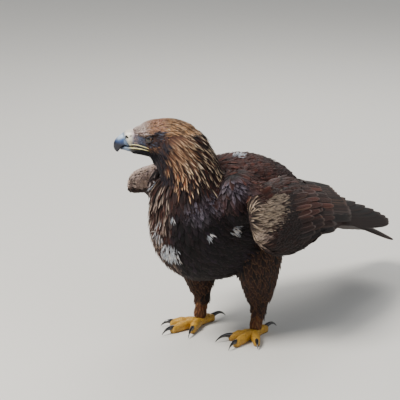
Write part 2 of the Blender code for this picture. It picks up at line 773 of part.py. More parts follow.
# Along a toe: share of its length, half width, half height
TOE_PADS = [
    (0.0, 0.85, 0.8),
    (0.3, 0.82, 0.82),
    (0.45, 0.74, 0.7),
    (0.62, 0.84, 0.8),
    (0.78, 0.7, 0.68),
    (1.0, 0.62, 0.62),
]
TOE_HEIGHT = 0.85
TOE_OUT_DEG = 8.0  # the whole foot is turned out by this
CLAW_BEND_DEG = 78.0
CLAW_RISE_DEG = 22.0
CLAW_INTO_TOE = 0.25
CLAW_CLEARANCE = 0.12


def build_leg(word, torso):
    side = 1 if word == "left" else -1
    foot = Vector((FOOT_SPREAD * side, FOOT_Y[word], 0))
    hip = Vector((5.0 * side, 0.5, 20.5))
    knee = Vector((6.2 * side, foot.y - 2.6, 16.5))
    thigh = loft(word + "_thigh", [
        (hip, 3.6, 4.2, 4.2),
        (between(hip, knee, 0.55) + Vector((0.6 * side, 1.2, 0)), 3.9, 5.2, 5.2),
        (Vector((6.5 * side, foot.y + 0.4, 14.0)), 3.7, 4.9, 5.0),
        (Vector((6.5 * side, foot.y + 0.7, 11.2)), 3.1, 4.0, 4.1),
        (Vector((6.3 * side, foot.y + 1.0, 8.6)), 2.4, 3.0, 3.0),
        (Vector((6.2 * side, foot.y + 1.2, 6.6)), 1.9, 2.3, 2.2),
    ], 14, up=(0, -1, 0))
    boolean(thigh, [grown_copy(torso)], "DIFFERENCE")
    keep_largest(thigh)
    shank = loft(word + "_shank", [
        (Vector((6.2 * side, foot.y + 1.25, 7.6)), 1.35, 1.6, 1.6),
        (Vector((6.1 * side, foot.y + 1.0, 4.6)), 1.2, 1.4, 1.45),
        (Vector((6.02 * side, foot.y + 0.5, 2.6)), 1.15, 1.35, 1.4),
        (Vector((6.0 * side, foot.y + 0.2, 1.55)), 1.2, 1.4, 1.4),
    ], 12, up=(0, -1, 0))
    pads = [ball("sole", foot + Vector((0, 0.1, 0.9)), (1.25, 1.5, 0.95), 14)]
    claws = []
    for toe, (heading, length, claw) in TOE_TABLE.items():
        turn = math.radians((heading + TOE_OUT_DEG) * side)
        ahead = Vector((math.sin(turn), -math.cos(turn), 0))
        stations = []
        for t, wide, tall in TOE_PADS:
            lift = TOE_HEIGHT - 0.1 * t + 0.18 * math.sin(math.pi * t)
            reach = between(0.5, length, t)
            stations.append((foot + ahead * reach + Vector((0, 0, lift)), wide, tall, 1.2))
        pads.append(loft("toe", stations, 7, floor=0.0))
        claws.append(build_claw(word, toe, foot + ahead * length, ahead, claw))
    sole = pads.pop(0)
    boolean(sole, pads, "UNION")
    flatten(sole)
    boolean(shank, [grown_copy(sole)], "DIFFERENCE")
    keep_largest(shank)
    boolean(thigh, [grown_copy(shank)], "DIFFERENCE")
    keep_largest(thigh)
    keep_largest(sole)
    for claw in claws:
        clear_of(claw, [sole])
    return [
        finish_node(thigh, word + "_thigh", "plumage"),
        finish_node(shank, word + "_shank", "plumage"),
        finish_node(sole, word + "_foot", "toe"),
    ] + claws


def flatten(obj):
    for vertex in obj.data.vertices:
        vertex.co.z = max(vertex.co.z, 0.0)


def build_claw(word, toe, root, ahead, length):
    """A hooked claw that starts at the toe's flat end and bends down to just over the floor."""
    stations = []
    bend = math.radians(CLAW_BEND_DEG)
    lean = math.radians(CLAW_RISE_DEG)
    radius = length / bend
    start = root - ahead * CLAW_INTO_TOE + Vector((0, 0, TOE_HEIGHT))
    for i in range(5):
        t = i / 4
        angle = bend * t - lean
        forward = radius * (math.sin(angle) + math.sin(lean))
        rise = radius * (math.cos(angle) - math.cos(lean))
        centre = start + ahead * forward + Vector((0, 0, rise))
        size = between(0.56, 0.06, t**0.9)
        stations.append((centre, size * 0.85, size, size))
    drop = min(p[0].z - p[3] for p in stations) - CLAW_CLEARANCE
    if drop < 0:
        lifted = []
        for i, (centre, wide, above, below) in enumerate(stations):
            lifted.append((centre + Vector((0, 0, -drop * i / 4)), wide, above, below))
        stations = lifted
    claw = loft("claw", stations, 7)
    return finish_node(claw, f"{word}_{toe}_claw", "talon")


def centre_on_floor():
    """Moves the bird so that the origin is on the floor under the middle of its box."""
    points = [obj.matrix_world @ v.co for obj in EAGLE.objects for v in obj.data.vertices]
    low = Vector([min(p[axis] for p in points) for axis in range(3)])
    high = Vector([max(p[axis] for p in points) for axis in range(3)])
    shift = Matrix.Translation(-Vector(((low.x + high.x) / 2, (low.y + high.y) / 2, low.z)))
    for obj in EAGLE.objects:
        obj.data.transform(shift)
    print("moved by", shift.translation, "size", high - low)


def main():
    bills = build_bill()
    build_eyes()
    head = build_head(bills)
    torso, neck = build_neck_and_torso()
    clear_of(neck, [torso, head])
    wings = [build_wing(word) for word in ("left", "right")]
    for wing in wings:
        clear_of(wing, [torso])
    tail = build_tail()
    clear_of(tail, [torso])
    for word in ("left", "right"):
        build_leg(word, torso)
    centre_on_floor()
    for obj in EAGLE.objects:
        print(obj.name, triangle_count(obj))


main()
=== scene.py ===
import itertools
import math
import random

import bpy
import numpy as np
from mathutils import Matrix, Vector
from mathutils.bvhtree import BVHTree
from mathutils.kdtree import KDTree


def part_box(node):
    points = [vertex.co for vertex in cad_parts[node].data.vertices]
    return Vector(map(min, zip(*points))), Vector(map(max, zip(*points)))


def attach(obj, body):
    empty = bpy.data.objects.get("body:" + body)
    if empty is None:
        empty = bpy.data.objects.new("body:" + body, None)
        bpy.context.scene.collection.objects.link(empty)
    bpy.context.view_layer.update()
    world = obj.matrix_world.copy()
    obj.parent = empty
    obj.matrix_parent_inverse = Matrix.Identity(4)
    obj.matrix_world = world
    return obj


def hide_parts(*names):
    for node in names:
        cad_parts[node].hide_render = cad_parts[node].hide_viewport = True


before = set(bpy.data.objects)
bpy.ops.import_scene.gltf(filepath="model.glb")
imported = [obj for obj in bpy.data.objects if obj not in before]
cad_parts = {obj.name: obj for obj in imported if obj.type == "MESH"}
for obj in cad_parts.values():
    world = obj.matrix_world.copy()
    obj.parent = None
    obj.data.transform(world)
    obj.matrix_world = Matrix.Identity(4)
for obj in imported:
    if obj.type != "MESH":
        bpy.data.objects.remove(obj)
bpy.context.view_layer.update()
print("stage: the packed bird is loaded")

# Everything below is written in centimetres in the bird's own axes: it faces -Y and its left side is at +X.
# The eye that came with the pack says where those axes lie.

birdAxes = {
    "eyeLine": Vector((-6.14, -16.06, 38.9)),  # midway between the eyes
    "headTurn": -50.0,  # degrees about +Z
    "eyeAhead": 0.15,
    "eyeSpread": 2.2,
    "eyeRadius": 0.82,
}
sideOf = {"left": 1, "right": -1}


def turned(degrees, axis):
    return Matrix.Rotation(math.radians(degrees), 3, axis)


upward = Vector((0, 0, 1))
headForward = turned(birdAxes["headTurn"], "Z") @ Vector((0, -1, 0))
headLeft = turned(birdAxes["headTurn"], "Z") @ Vector((1, 0, 0))
headAxes = Matrix((headForward, headLeft, upward)).transposed()


def inHead(forward, left, high):
    return birdAxes["eyeLine"] + headForward * forward + headLeft * left + upward * high


def headPlace(point):
    away = point - birdAxes["eyeLine"]
    return away.dot(headForward), away.dot(headLeft), away.z


eyeLow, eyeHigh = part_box("eye_left")
shift = (eyeLow + eyeHigh) / 2 - inHead(birdAxes["eyeAhead"], birdAxes["eyeSpread"], 0) * 0.01


def metres(points):
    return np.asarray(points, dtype=float) * 0.01 + np.array(shift)


def centimetres(point):
    return (point - shift) * 100


def mix(a, b, share):
    return a + (b - a) * share


def ease(start, end, value):
    # 0 at start and 1 at end, with a soft beginning and end
    t = min(1.0, max(0.0, (value - start) / (end - start)))
    return t * t * (3 - 2 * t)


def near(value, low, high, soft):
    # 1 between low and high, falling to 0 within soft outside them
    return ease(low - soft, low, value) * (1 - ease(high, high + soft, value))


def along(table, place, column=1):
    # a smooth curve through a column of a table, read at a place in its first column
    if place <= table[0][0]:
        return table[0][column]
    for i in range(len(table) - 1):
        left, right = table[i], table[i + 1]
        if place <= right[0]:
            before = table[max(i - 1, 0)]
            after = table[min(i + 2, len(table) - 1)]
            span = right[0] - left[0]
            t = (place - left[0]) / span
            slopeLeft = (right[column] - before[column]) / (right[0] - before[0]) * span
            slopeRight = (after[column] - left[column]) / (after[0] - left[0]) * span
            rise = left[column] * (2 * t**3 - 3 * t**2 + 1) + right[column] * (3 * t**2 - 2 * t**3)
            return rise + slopeLeft * (t**3 - 2 * t**2 + t) + slopeRight * (t**3 - t**2)
    return table[-1][column]


def colour(red, green, blue):
    shares = [value / 255 for value in (red, green, blue)]
    return np.array([s / 12.92 if s <= 0.04 else ((s + 0.055) / 1.055) ** 2.4 for s in shares])


def withPoints(rows):
    # rows whose first three numbers are a point
    return [(Vector(row[:3]), *row[3:]) for row in rows]


# Small tools for making and finishing objects


def pickOnly(obj):
    bpy.ops.object.select_all(action="DESELECT")
    obj.select_set(True)
    bpy.context.view_layer.objects.active = obj


def applied(obj, kind, **values):
    pickOnly(obj)
    modifier = obj.modifiers.new(kind.lower(), kind)
    for key, value in values.items():
        setattr(modifier, key, value)
    bpy.ops.object.modifier_apply(modifier=modifier.name)


def joined(whole, others, operation):
    # cuts the others out of a piece, or melts them into it
    for other in others:
        applied(whole, "BOOLEAN", operation=operation, object=other, solver="EXACT")
        bpy.data.objects.remove(other, do_unlink=True)


def linked(name, mesh):
    obj = bpy.data.objects.new(name, mesh)
    bpy.context.scene.collection.objects.link(obj)
    return obj


def objectFrom(name, points, faces):
    mesh = bpy.data.meshes.new(name)
    mesh.from_pydata([tuple(p) for p in metres(points)], [], faces)
    mesh.update()
    return linked(name, mesh)


def outwards(obj):
    pickOnly(obj)
    bpy.ops.object.mode_set(mode="EDIT")
    bpy.ops.mesh.select_all(action="SELECT")
    bpy.ops.mesh.remove_doubles(threshold=0.000001)
    bpy.ops.mesh.normals_make_consistent(inside=False)
    bpy.ops.object.mode_set(mode="OBJECT")
    return obj


def colourLayer(mesh, name, values):
    attribute = mesh.attributes.new(name, "FLOAT_COLOR", "POINT")
    attribute.data.foreach_set("color", values.ravel())


def paint(obj, toneAt):
    # writes the tint attribute from each point's place in centimetres
    places = np.empty(len(obj.data.vertices) * 3)
    obj.data.vertices.foreach_get("co", places)
    places = (places.reshape(-1, 3) - np.array(shift)) * 100
    values = np.ones((len(places), 4))
    for i, place in enumerate(places):
        values[i, :3] = toneAt(Vector(place))
    colourLayer(obj.data, "tint", values)


def finished(obj, material, nodes=(), toneAt=None, crease=None):
    if toneAt:
        paint(obj, toneAt)
    if crease:
        pickOnly(obj)
        bpy.ops.object.shade_smooth_by_angle(angle=math.radians(crease))
    else:
        obj.data.shade_smooth()
    obj.data.materials.clear()
    obj.data.materials.append(materials[material])
    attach(obj, "root")
    if nodes:
        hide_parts(*nodes)


def denser(stations, count):
    # many stations on the smooth line through a few, each a point and its sizes
    rows = []
    reach = 0.0
    for before, station in zip(stations[:1] + stations, stations):
        reach += (station[0] - before[0]).length
        rows.append((reach, *station[0], *station[1:]))
    made = []
    for i in range(count):
        values = [along(rows, reach * i / (count - 1), k) for k in range(1, len(rows[0]))]
        made.append((Vector(values[:3]), *values[3:]))
    return made


def bandFaces(rings, sides, closed=False):
    # quads between rings of points, all the way round when closed
    faces = []
    for i in range(rings if closed else rings - 1):
        a, b = i * sides, ((i + 1) % rings) * sides
        for k in range(sides):
            m = (k + 1) % sides
            faces.append((a + k, a + m, b + m, b + k))
    return faces


def tubeFaces(rings, sides):
    caps = [tuple(reversed(range(sides))), tuple(range((rings - 1) * sides, rings * sides))]
    return bandFaces(rings, sides) + caps


def crossAxes(line, i, up, closed=False):
    # the two directions across a line of points at one of them
    before = line[i - 1] if closed or i else line[0]
    after = line[(i + 1) % len(line)] if closed or i < len(line) - 1 else line[-1]
    ahead = (after - before).normalized()
    side = ahead.cross(Vector(up)).normalized()
    return side, side.cross(ahead)


def loft(name, stations, sides, up=(0, 0, 1), squareness=2.0, floor=None, ridges=None):
    # a closed form through stations of middle, half width, height above and height below
    line = [station[0] for station in stations]
    points = []
    for i, (centre, width, above, below) in enumerate(stations):
        side, rise = crossAxes(line, i, up)
        for k in range(sides):
            angle = 2 * math.pi * (k + 0.5) / sides
            c, s = math.cos(angle), math.sin(angle)
            reach = (abs(c) ** squareness + abs(s) ** squareness) ** (-1 / squareness)
            if ridges:
                reach *= 1 + ridges(i, s)
            height = above if s > 0 else below
            point = centre + side * width * c * reach + rise * height * s * reach
            if floor is not None:
                point.z = max(point.z, floor)
            points.append(point)
    return outwards(objectFrom(name, points, tubeFaces(len(line), sides)))


def tubeAlong(name, points, radii, sides=10, closed=False, flat=1.0, up=(0, 0, 1)):
    # a round tube through points, or a ring when closed
    rings = []
    for i, (point, radius) in enumerate(zip(points, radii)):
        side, rise = crossAxes(points, i, up, closed)
        for k in range(sides):
            angle = 2 * math.pi * k / sides
            rings.append(point + side * math.cos(angle) * radius * flat + rise * math.sin(angle) * radius)
    faces = bandFaces(len(points), sides, True) if closed else tubeFaces(len(points), sides)
    return outwards(objectFrom(name, rings, faces))


def ballAt(name, centre, radii, turn=None, segments=40):
    # a sphere stretched and turned in its own mesh, so that its object stays at the origin
    place = Matrix.Translation(Vector(metres(centre))) @ (turn or Matrix.Identity(3)).to_4x4()
    bpy.ops.object.select_all(action="DESELECT")
    bpy.ops.mesh.primitive_uv_sphere_add(segments=segments, ring_count=segments // 2, radius=1.0)
    obj = bpy.context.object
    obj.name = name
    obj.data.name = name
    obj.data.transform(place @ Matrix.Diagonal((*[r * 0.01 for r in radii], 1.0)))
    return obj


# Materials. The pattern groups are built once and placed in each material with its own values.


def addNode(tree, kind, inputs, **settings):
    # a node with its settings, where each input is a number, a colour or another node's output
    node = tree.nodes.new(kind)
    for key, value in settings.items():
        setattr(node, key, value)
    for key, value in inputs.items():
        if isinstance(value, bpy.types.NodeSocket):
            tree.links.new(value, node.inputs[key])
        else:
            node.inputs[key].default_value = value
    return node.outputs


def mathNode(tree, operation, *values):
    return addNode(tree, "ShaderNodeMath", dict(enumerate(values)), operation=operation)[0]


def mixColour(tree, factor, a, b, blend="MIX"):
    inputs = {0: factor, 6: a, 7: b}
    return addNode(tree, "ShaderNodeMix", inputs, data_type="RGBA", blend_type=blend)[2]


def times(tree, source, red, green, blue):
    return mixColour(tree, 1.0, source, (red, green, blue, 1.0), "MULTIPLY")


def stepRange(tree, value, start, end, low=0.0, high=1.0):
    inputs = dict(enumerate((value, start, end, low, high)))
    return addNode(tree, "ShaderNodeMapRange", inputs, interpolation_type="SMOOTHSTEP")[0]


def objectPlace(tree):
    return addNode(tree, "ShaderNodeTexCoord", {})["Object"]


def noiseNode(tree, place, scale, detail=2.0):
    return addNode(tree, "ShaderNodeTexNoise", {"Vector": place, "Scale": scale, "Detail": detail})[0]


def attributeNode(tree, name):
    return addNode(tree, "ShaderNodeAttribute", {}, attribute_type="GEOMETRY", attribute_name=name)


def groupWith(name, inputs, outputs):
    group = bpy.data.node_groups.new(name, "ShaderNodeTree")
    for word, value in inputs.items():
        socket = group.interface.new_socket(word, in_out="INPUT", socket_type="NodeSocketFloat")
        socket.default_value = value
    for word in outputs:
        group.interface.new_socket(word, in_out="OUTPUT", socket_type="NodeSocketFloat")
    return group, group.nodes.new("NodeGroupInput").outputs, group.nodes.new("NodeGroupOutput").inputs


def makeBarbGroup():
    # reads a feather's own UV: u across it, v from root to tip
    words = ("Barb", "Shaft", "Rim", "Height")
    group, entry, out = groupWith("barbPattern", {"Barbs": 40.0, "Slant": 9.0}, words)
    uv = addNode(group, "ShaderNodeUVMap", {}, uv_map="FeatherUV")[0]
    u, v = addNode(group, "ShaderNodeSeparateXYZ", {0: uv})[:2]
    across = mathNode(group, "ABSOLUTE", mathNode(group, "MULTIPLY_ADD", u, 2.0, -1.0))
    sway = mathNode(group, "MULTIPLY", noiseNode(group, objectPlace(group), 260.0), 1.6)
    run = mathNode(group, "MULTIPLY", v, entry["Barbs"])
    lean = mathNode(group, "MULTIPLY", across, entry["Slant"])
    phase = mathNode(group, "ADD", mathNode(group, "SUBTRACT", run, lean), sway)
    wave = mathNode(group, "SINE", mathNode(group, "MULTIPLY", phase, 6.2832))
    barb = mathNode(group, "MULTIPLY_ADD", wave, 0.5, 0.5)
    shaft = stepRange(group, across, 0.05, 0.13, 1.0, 0.0)
    tip = stepRange(group, v, 0.8, 1.0)
    rim = stepRange(group, mathNode(group, "MAXIMUM", across, tip), 0.62, 0.96)
    height = mathNode(group, "ADD", mathNode(group, "MULTIPLY", barb, 0.5), shaft)
    for word, value in zip(words, (barb, shaft, rim, height)):
        group.links.new(value, out[word])
    return group


def makeGrainGroup():
    # fine pores and soft blotches over bare skin and horn, in object space
    group, entry, out = groupWith("skinGrain", {"Fine": 900.0, "Broad": 90.0}, ("Pores", "Blotch"))
    for scale, detail, word in (("Fine", 4.0, "Pores"), ("Broad", 3.0, "Blotch")):
        group.links.new(noiseNode(group, objectPlace(group), entry[scale], detail), out[word])
    return group


barbGroup = makeBarbGroup()
grainGroup = makeGrainGroup()


def newMaterial(name, roughness, **constants):
    made = bpy.data.materials.new(name)
    made.use_nodes = True
    shader = made.node_tree.nodes["Principled BSDF"]
    shader.inputs["Roughness"].default_value = roughness
    for key, value in constants.items():
        shader.inputs[key].default_value = value
    return made, made.node_tree, shader.inputs


def grainIn(tree, fine, broad):
    return addNode(tree, "ShaderNodeGroup", {"Fine": fine, "Broad": broad}, node_tree=grainGroup)


def bumpFrom(tree, shader, height, strength, distance):
    bump = addNode(tree, "ShaderNodeBump", {"Strength": strength, "Distance": distance, "Height": height})
    tree.links.new(bump[0], shader["Normal"])


def wornBy(tree, shader, grain, roughness, swing, depth):
    # pores make horn and skin rough by turns, and uneven
    ends = (roughness * (1 - swing), roughness * (1 + swing))
    tree.links.new(stepRange(tree, grain["Pores"], 0.3, 0.7, *ends), shader["Roughness"])
    bumpFrom(tree, shader, grain["Pores"], depth, 0.0003)


def featherMaterial(name, barbs, slant, roughness, barbDepth, shaftTone):
    made, tree, shader = newMaterial(name, roughness, **{"Specular IOR Level": 0.2})
    pattern = addNode(tree, "ShaderNodeGroup", {"Barbs": barbs, "Slant": slant}, node_tree=barbGroup)
    tint = attributeNode(tree, "tint")["Color"]
    fringe = attributeNode(tree, "fringe")
    banded = mixColour(tree, pattern["Barb"], times(tree, tint, 0.5, 0.47, 0.46), tint)
    edge = mathNode(tree, "MULTIPLY", pattern["Rim"], fringe["Alpha"])
    edged = mixColour(tree, edge, banded, fringe["Color"])
    shafted = mixColour(tree, pattern["Shaft"], edged, times(tree, edged, shaftTone, shaftTone, shaftTone))
    tree.links.new(shafted, shader["Base Color"])
    bumpFrom(tree, shader, pattern["Height"], barbDepth, 0.0006)
    return made


def makeSkinMaterial():
    made, tree, shader = newMaterial("downySkin", 0.85)
    pores = grainIn(tree, 700.0, 120.0)["Pores"]
    tint = attributeNode(tree, "tint")["Color"]
    tree.links.new(mixColour(tree, pores, times(tree, tint, 0.55, 0.52, 0.5), tint), shader["Base Color"])
    bumpFrom(tree, shader, pores, 0.5, 0.0008)
    return made


def bareMaterial(name, roughness, light, dark, coat=0.0, fine=900.0, broad=90.0, depth=0.25):
    made, tree, shader = newMaterial(name, roughness, **{"Coat Weight": coat})
    grain = grainIn(tree, fine, broad)
    blotch = stepRange(tree, grain["Blotch"], 0.35, 0.65)
    base = mixColour(tree, blotch, (*colour(*dark), 1.0), (*colour(*light), 1.0))
    tree.links.new(base, shader["Base Color"])
    wornBy(tree, shader, grain, roughness, 0.2, depth)
    return made


def tintedMaterial(name, roughness, coat=0.0, fine=900.0, depth=0.2):
    # horn and skin whose colour changes along the piece, from its own tint attribute
    made, tree, shader = newMaterial(name, roughness, **{"Coat Weight": coat, "Coat Roughness": 0.12})
    grain = grainIn(tree, fine, 140.0)
    tint = attributeNode(tree, "tint")["Color"]
    blotch = stepRange(tree, grain["Blotch"], 0.35, 0.6)
    tree.links.new(mixColour(tree, blotch, times(tree, tint, 0.72, 0.72, 0.74), tint), shader["Base Color"])
    wornBy(tree, shader, grain, roughness, 0.25, depth)
    return made


def toeMaterial():
    # small scales round the toes, over the plates that are modelled on top
    made, tree, shader = newMaterial("toeSkin", 0.45)
    cellInputs = {"Vector": objectPlace(tree), "Scale": 480.0}
    cells = addNode(tree, "ShaderNodeTexVoronoi", cellInputs, feature="DISTANCE_TO_EDGE")[0]
    scale = stepRange(tree, cells, 0.02, 0.16)
    grain = grainIn(tree, 1500.0, 150.0)
    tint = attributeNode(tree, "tint")["Color"]
    blotch = stepRange(tree, grain["Blotch"], 0.35, 0.65)
    blotched = mixColour(tree, blotch, times(tree, tint, 0.8, 0.74, 0.66), tint)
    base = mixColour(tree, scale, times(tree, tint, 0.45, 0.36, 0.3), blotched)
    tree.links.new(base, shader["Base Color"])
    height = mathNode(tree, "ADD", scale, mathNode(tree, "MULTIPLY", grain["Pores"], 0.3))
    bumpFrom(tree, shader, height, 0.6, 0.0004)
    return made


materials = {
    "plume": featherMaterial("plumeFeather", 22.0, 8.0, 0.68, 0.4, 0.75),
    "hackle": featherMaterial("hackleFeather", 16.0, 9.0, 0.58, 0.35, 1.2),
    "flight": featherMaterial("flightFeather", 90.0, 14.0, 0.55, 0.35, 1.5),
    "skin": makeSkinMaterial(),
    "horn": tintedMaterial("billHorn", 0.34, coat=0.14, fine=500.0, depth=0.12),
    "cere": tintedMaterial("cereSkin", 0.42, coat=0.1, fine=1300.0, depth=0.3),
    "toe": toeMaterial(),
    "talon": bareMaterial("talonHorn", 0.24, (46, 44, 46), (14, 13, 15), 0.5, 400.0, 160.0, 0.1),
    "lid": bareMaterial("lidSkin", 0.5, (46, 48, 56), (22, 23, 30), 0.0, 1600.0, 300.0, 0.3),
}


# The skin: one closed surface of body, neck, head, arms and legs, inside the feathers by their depth

bodyTable = withPoints(
    [
        # middle line, half width, height above, height below, depth of the coat over it
        (0.0, 18.4, 20.5, 2.4, 1.6, 1.7, 0.35),
        (0.0, 17.0, 20.8, 3.8, 2.7, 2.9, 0.5),
        (0.0, 14.0, 21.6, 5.6, 5.1, 5.0, 0.6),
        (0.0, 9.0, 22.7, 7.5, 7.8, 8.2, 0.6),
        (0.0, 3.0, 23.4, 8.7, 9.6, 11.8, 0.6),
        (0.0, -4.0, 24.2, 9.3, 9.5, 13.2, 0.6),
        (0.0, -9.4, 26.0, 9.0, 8.2, 13.2, 0.6),
        (0.0, -12.2, 29.0, 7.6, 6.8, 8.3, 0.6),
        (0.0, -12.9, 32.2, 5.5, 5.7, 5.2, 0.5),
        (-1.1, -13.3, 35.0, 4.9, 5.4, 4.8, 0.4),
        (-2.4, -14.0, 37.6, 4.8, 5.5, 4.6, 0.35),
        (-3.0, -14.2, 39.6, 3.2, 3.8, 3.2, 0.4),
    ]
)
headTable = [
    # forward, up, half width, height above, height below
    (-7.6, 0.0, 1.6, 1.5, 1.6),
    (-6.9, 0.1, 2.6, 2.0, 2.6),
    (-5.4, 0.1, 3.25, 2.65, 3.4),
    (-3.6, 0.1, 3.45, 3.05, 4.0),
    (-1.8, 0.0, 3.25, 3.1, 3.9),
    (0.0, -0.1, 2.8, 2.95, 3.3),
    (1.2, -0.4, 2.3, 2.5, 2.6),
    (2.2, -0.6, 1.85, 2.3, 2.0),
    (3.0, -0.8, 1.45, 1.95, 1.5),
    (3.4, -0.9, 1.2, 1.75, 1.2),
]
chinTable = [
    (-1.8, -2.7, 2.1, 0.6, 1.1),
    (-0.6, -2.55, 2.02, 0.45, 1.0),
    (0.6, -2.5, 1.82, 0.36, 0.76),
    (1.8, -2.48, 1.46, 0.32, 0.52),
    (3.0, -2.46, 1.06, 0.26, 0.4),
    (3.7, -2.44, 0.66, 0.16, 0.24),
]
skinLook = {
    "headDepth": 0.2,  # of the short feathers on the head
    "armDepth": 0.4,
    "legDepth": 0.45,
    "shankDepth": 0.28,
    "voxel": 0.28,
    "smoothing": 4,
}
wingTable = {
    # how far behind the wrist, then the middle line of the folded wing
    "left": [
        (0.0, 14.3, -12.6, 24.4),
        (5.0, 13.8, -7.8, 25.0),
        (12.0, 12.5, -1.0, 25.3),
        (22.0, 10.0, 8.6, 24.8),
        (34.0, 7.2, 20.0, 22.0),
        (48.0, 4.9, 33.0, 17.2),
        (60.0, 3.4, 44.0, 13.1),
    ],
    "right": [
        (0.0, 13.9, -13.6, 28.1),
        (5.0, 13.3, -8.7, 28.4),
        (12.0, 11.9, -1.9, 27.6),
        (22.0, 9.7, 7.8, 25.7),
        (34.0, 7.0, 19.2, 22.2),
        (48.0, 4.8, 32.4, 17.4),
        (60.0, 3.4, 43.6, 13.3),
    ],
}
wingLines = {word: [(row[0], *Vector(row[1:])) for row in rows] for word, rows in wingTable.items()}
wingLook = {
    "length": 60.0,
    "curl": 0.030,
    "lean": [(0.0, 16.0), (10.0, 28.0), (22.0, 44.0), (36.0, 50.0), (60.0, 42.0)],
}
armPlaces = (0.0, 1.0, 2.5, 5.0, 9.0, 14.0, 20.0, 26.0, 30.0)
armAbove = {
    "left": list(zip(armPlaces, (1.6, 3.2, 4.6, 5.6, 6.2, 6.2, 5.6, 4.6, 3.4))),
    "right": list(zip(armPlaces, (1.5, 2.3, 2.7, 3.0, 4.4, 5.2, 5.2, 4.6, 3.4))),
}
armBelow = {
    "left": list(zip(armPlaces, (1.6, 3.4, 5.0, 6.5, 7.6, 8.0, 7.4, 6.0, 4.4))),
    "right": list(zip(armPlaces, (1.5, 2.4, 2.8, 3.4, 6.2, 7.6, 7.4, 6.0, 4.4))),
}
armOutside = list(zip(armPlaces, (0.5, 1.1, 1.4, 1.5, 1.3, 0.8, 0.35, 0.15, 0.1)))
armInside = list(zip(armPlaces, (0.5, 1.2, 1.7, 2.1, 2.1, 1.8, 1.4, 0.9, 0.4)))


def wingMiddle(word, behind):
    x, y, z = (along(wingLines[word], behind, k) for k in (1, 2, 3))
    return Vector((x * sideOf[word], y, z))


def wingLine(word):
    return [wingMiddle(word, i) for i in range(61)]


def wingFrame(word, behind):
    side = sideOf[word]
    back = (wingMiddle(word, behind + 0.5) - wingMiddle(word, max(behind - 0.5, 0.0))).normalized()
    lean = math.radians(along(wingLook["lean"], behind))
    rise = Vector((-math.sin(lean) * side, 0, math.cos(lean)))
    rise = (rise - back * rise.dot(back)).normalized()
    out = rise.cross(back) * -side
    return rise, out.normalized()


def wingPlace(word, behind, above, lift):
    behind = min(behind, wingLook["length"])
    rise, out = wingFrame(word, behind)
    curl = wingLook["curl"] * above
    normal = (out + rise * 2 * curl).normalized()
    return wingMiddle(word, behind) + rise * above - out * curl * above + normal * lift, normal


def armShape(word, depth, sides=24, steps=30, reach=26.0):
    points = []
    for i in range(steps):
        behind = reach * (i / (steps - 1)) ** 1.3
        for k in range(sides):
            angle = 2 * math.pi * (k + 0.5) / sides
            heights = armAbove if math.cos(angle) > 0 else armBelow
            height = (along(heights[word], behind) - depth) * math.cos(angle)
            thicks = armOutside if math.sin(angle) > 0 else armInside
            thick = max(0.15, along(thicks, behind) - depth) * math.sin(angle)
            points.append(wingPlace(word, max(behind, depth), height, thick)[0])
    caps = [tuple(range(sides)), tuple(range((steps - 1) * sides, steps * sides))]
    return outwards(objectFrom("arm", points, bandFaces(steps, sides) + caps))


legLook = {
    "spread": 6.0,
    "footPlace": {"left": -1.5, "right": -3.0},  # how far in front of the middle each foot stands
}
legTable = {
    # out from the middle, behind the foot, up, half width, height in front, height behind
    "thigh": [
        (6.5, 0.4, 14.0, 3.7, 4.9, 5.0),
        (6.5, 0.7, 11.2, 3.1, 4.0, 4.1),
        (6.3, 1.0, 8.6, 2.4, 3.0, 3.0),
        (6.2, 1.2, 6.6, 1.9, 2.3, 2.2),
    ],
    "shank": [
        (6.2, 1.25, 7.6, 1.35, 1.6, 1.6),
        (6.1, 1.0, 4.6, 1.2, 1.4, 1.45),
        (6.02, 0.5, 2.6, 1.15, 1.35, 1.4),
        (6.0, 0.2, 1.55, 1.2, 1.4, 1.4),
    ],
}


def footAt(word):
    return Vector((legLook["spread"] * sideOf[word], legLook["footPlace"][word], 0))


def legStations(word, part):
    side, foot = sideOf[word], footAt(word)
    rows = [(Vector((x * side, foot.y + y, z)), *sizes) for x, y, z, *sizes in legTable[part]]
    if part == "shank":
        return rows
    hip = Vector((5.0 * side, 0.5, 20.5))
    knee = Vector((6.2 * side, foot.y - 2.6, 16.5))
    middle = mix(hip, knee, 0.55) + Vector((0.6 * side, 1.2, 0))
    return [(hip, 3.6, 4.2, 4.2), (middle, 3.9, 5.2, 5.2), *rows]


def thinner(stations, depth):
    return [(c, max(w - depth, 0.3), max(a - depth, 0.3), max(b - depth, 0.3)) for c, w, a, b in stations]


def headStations(table):
    return [(inHead(f, 0, u), *sizes) for f, u, *sizes in table]


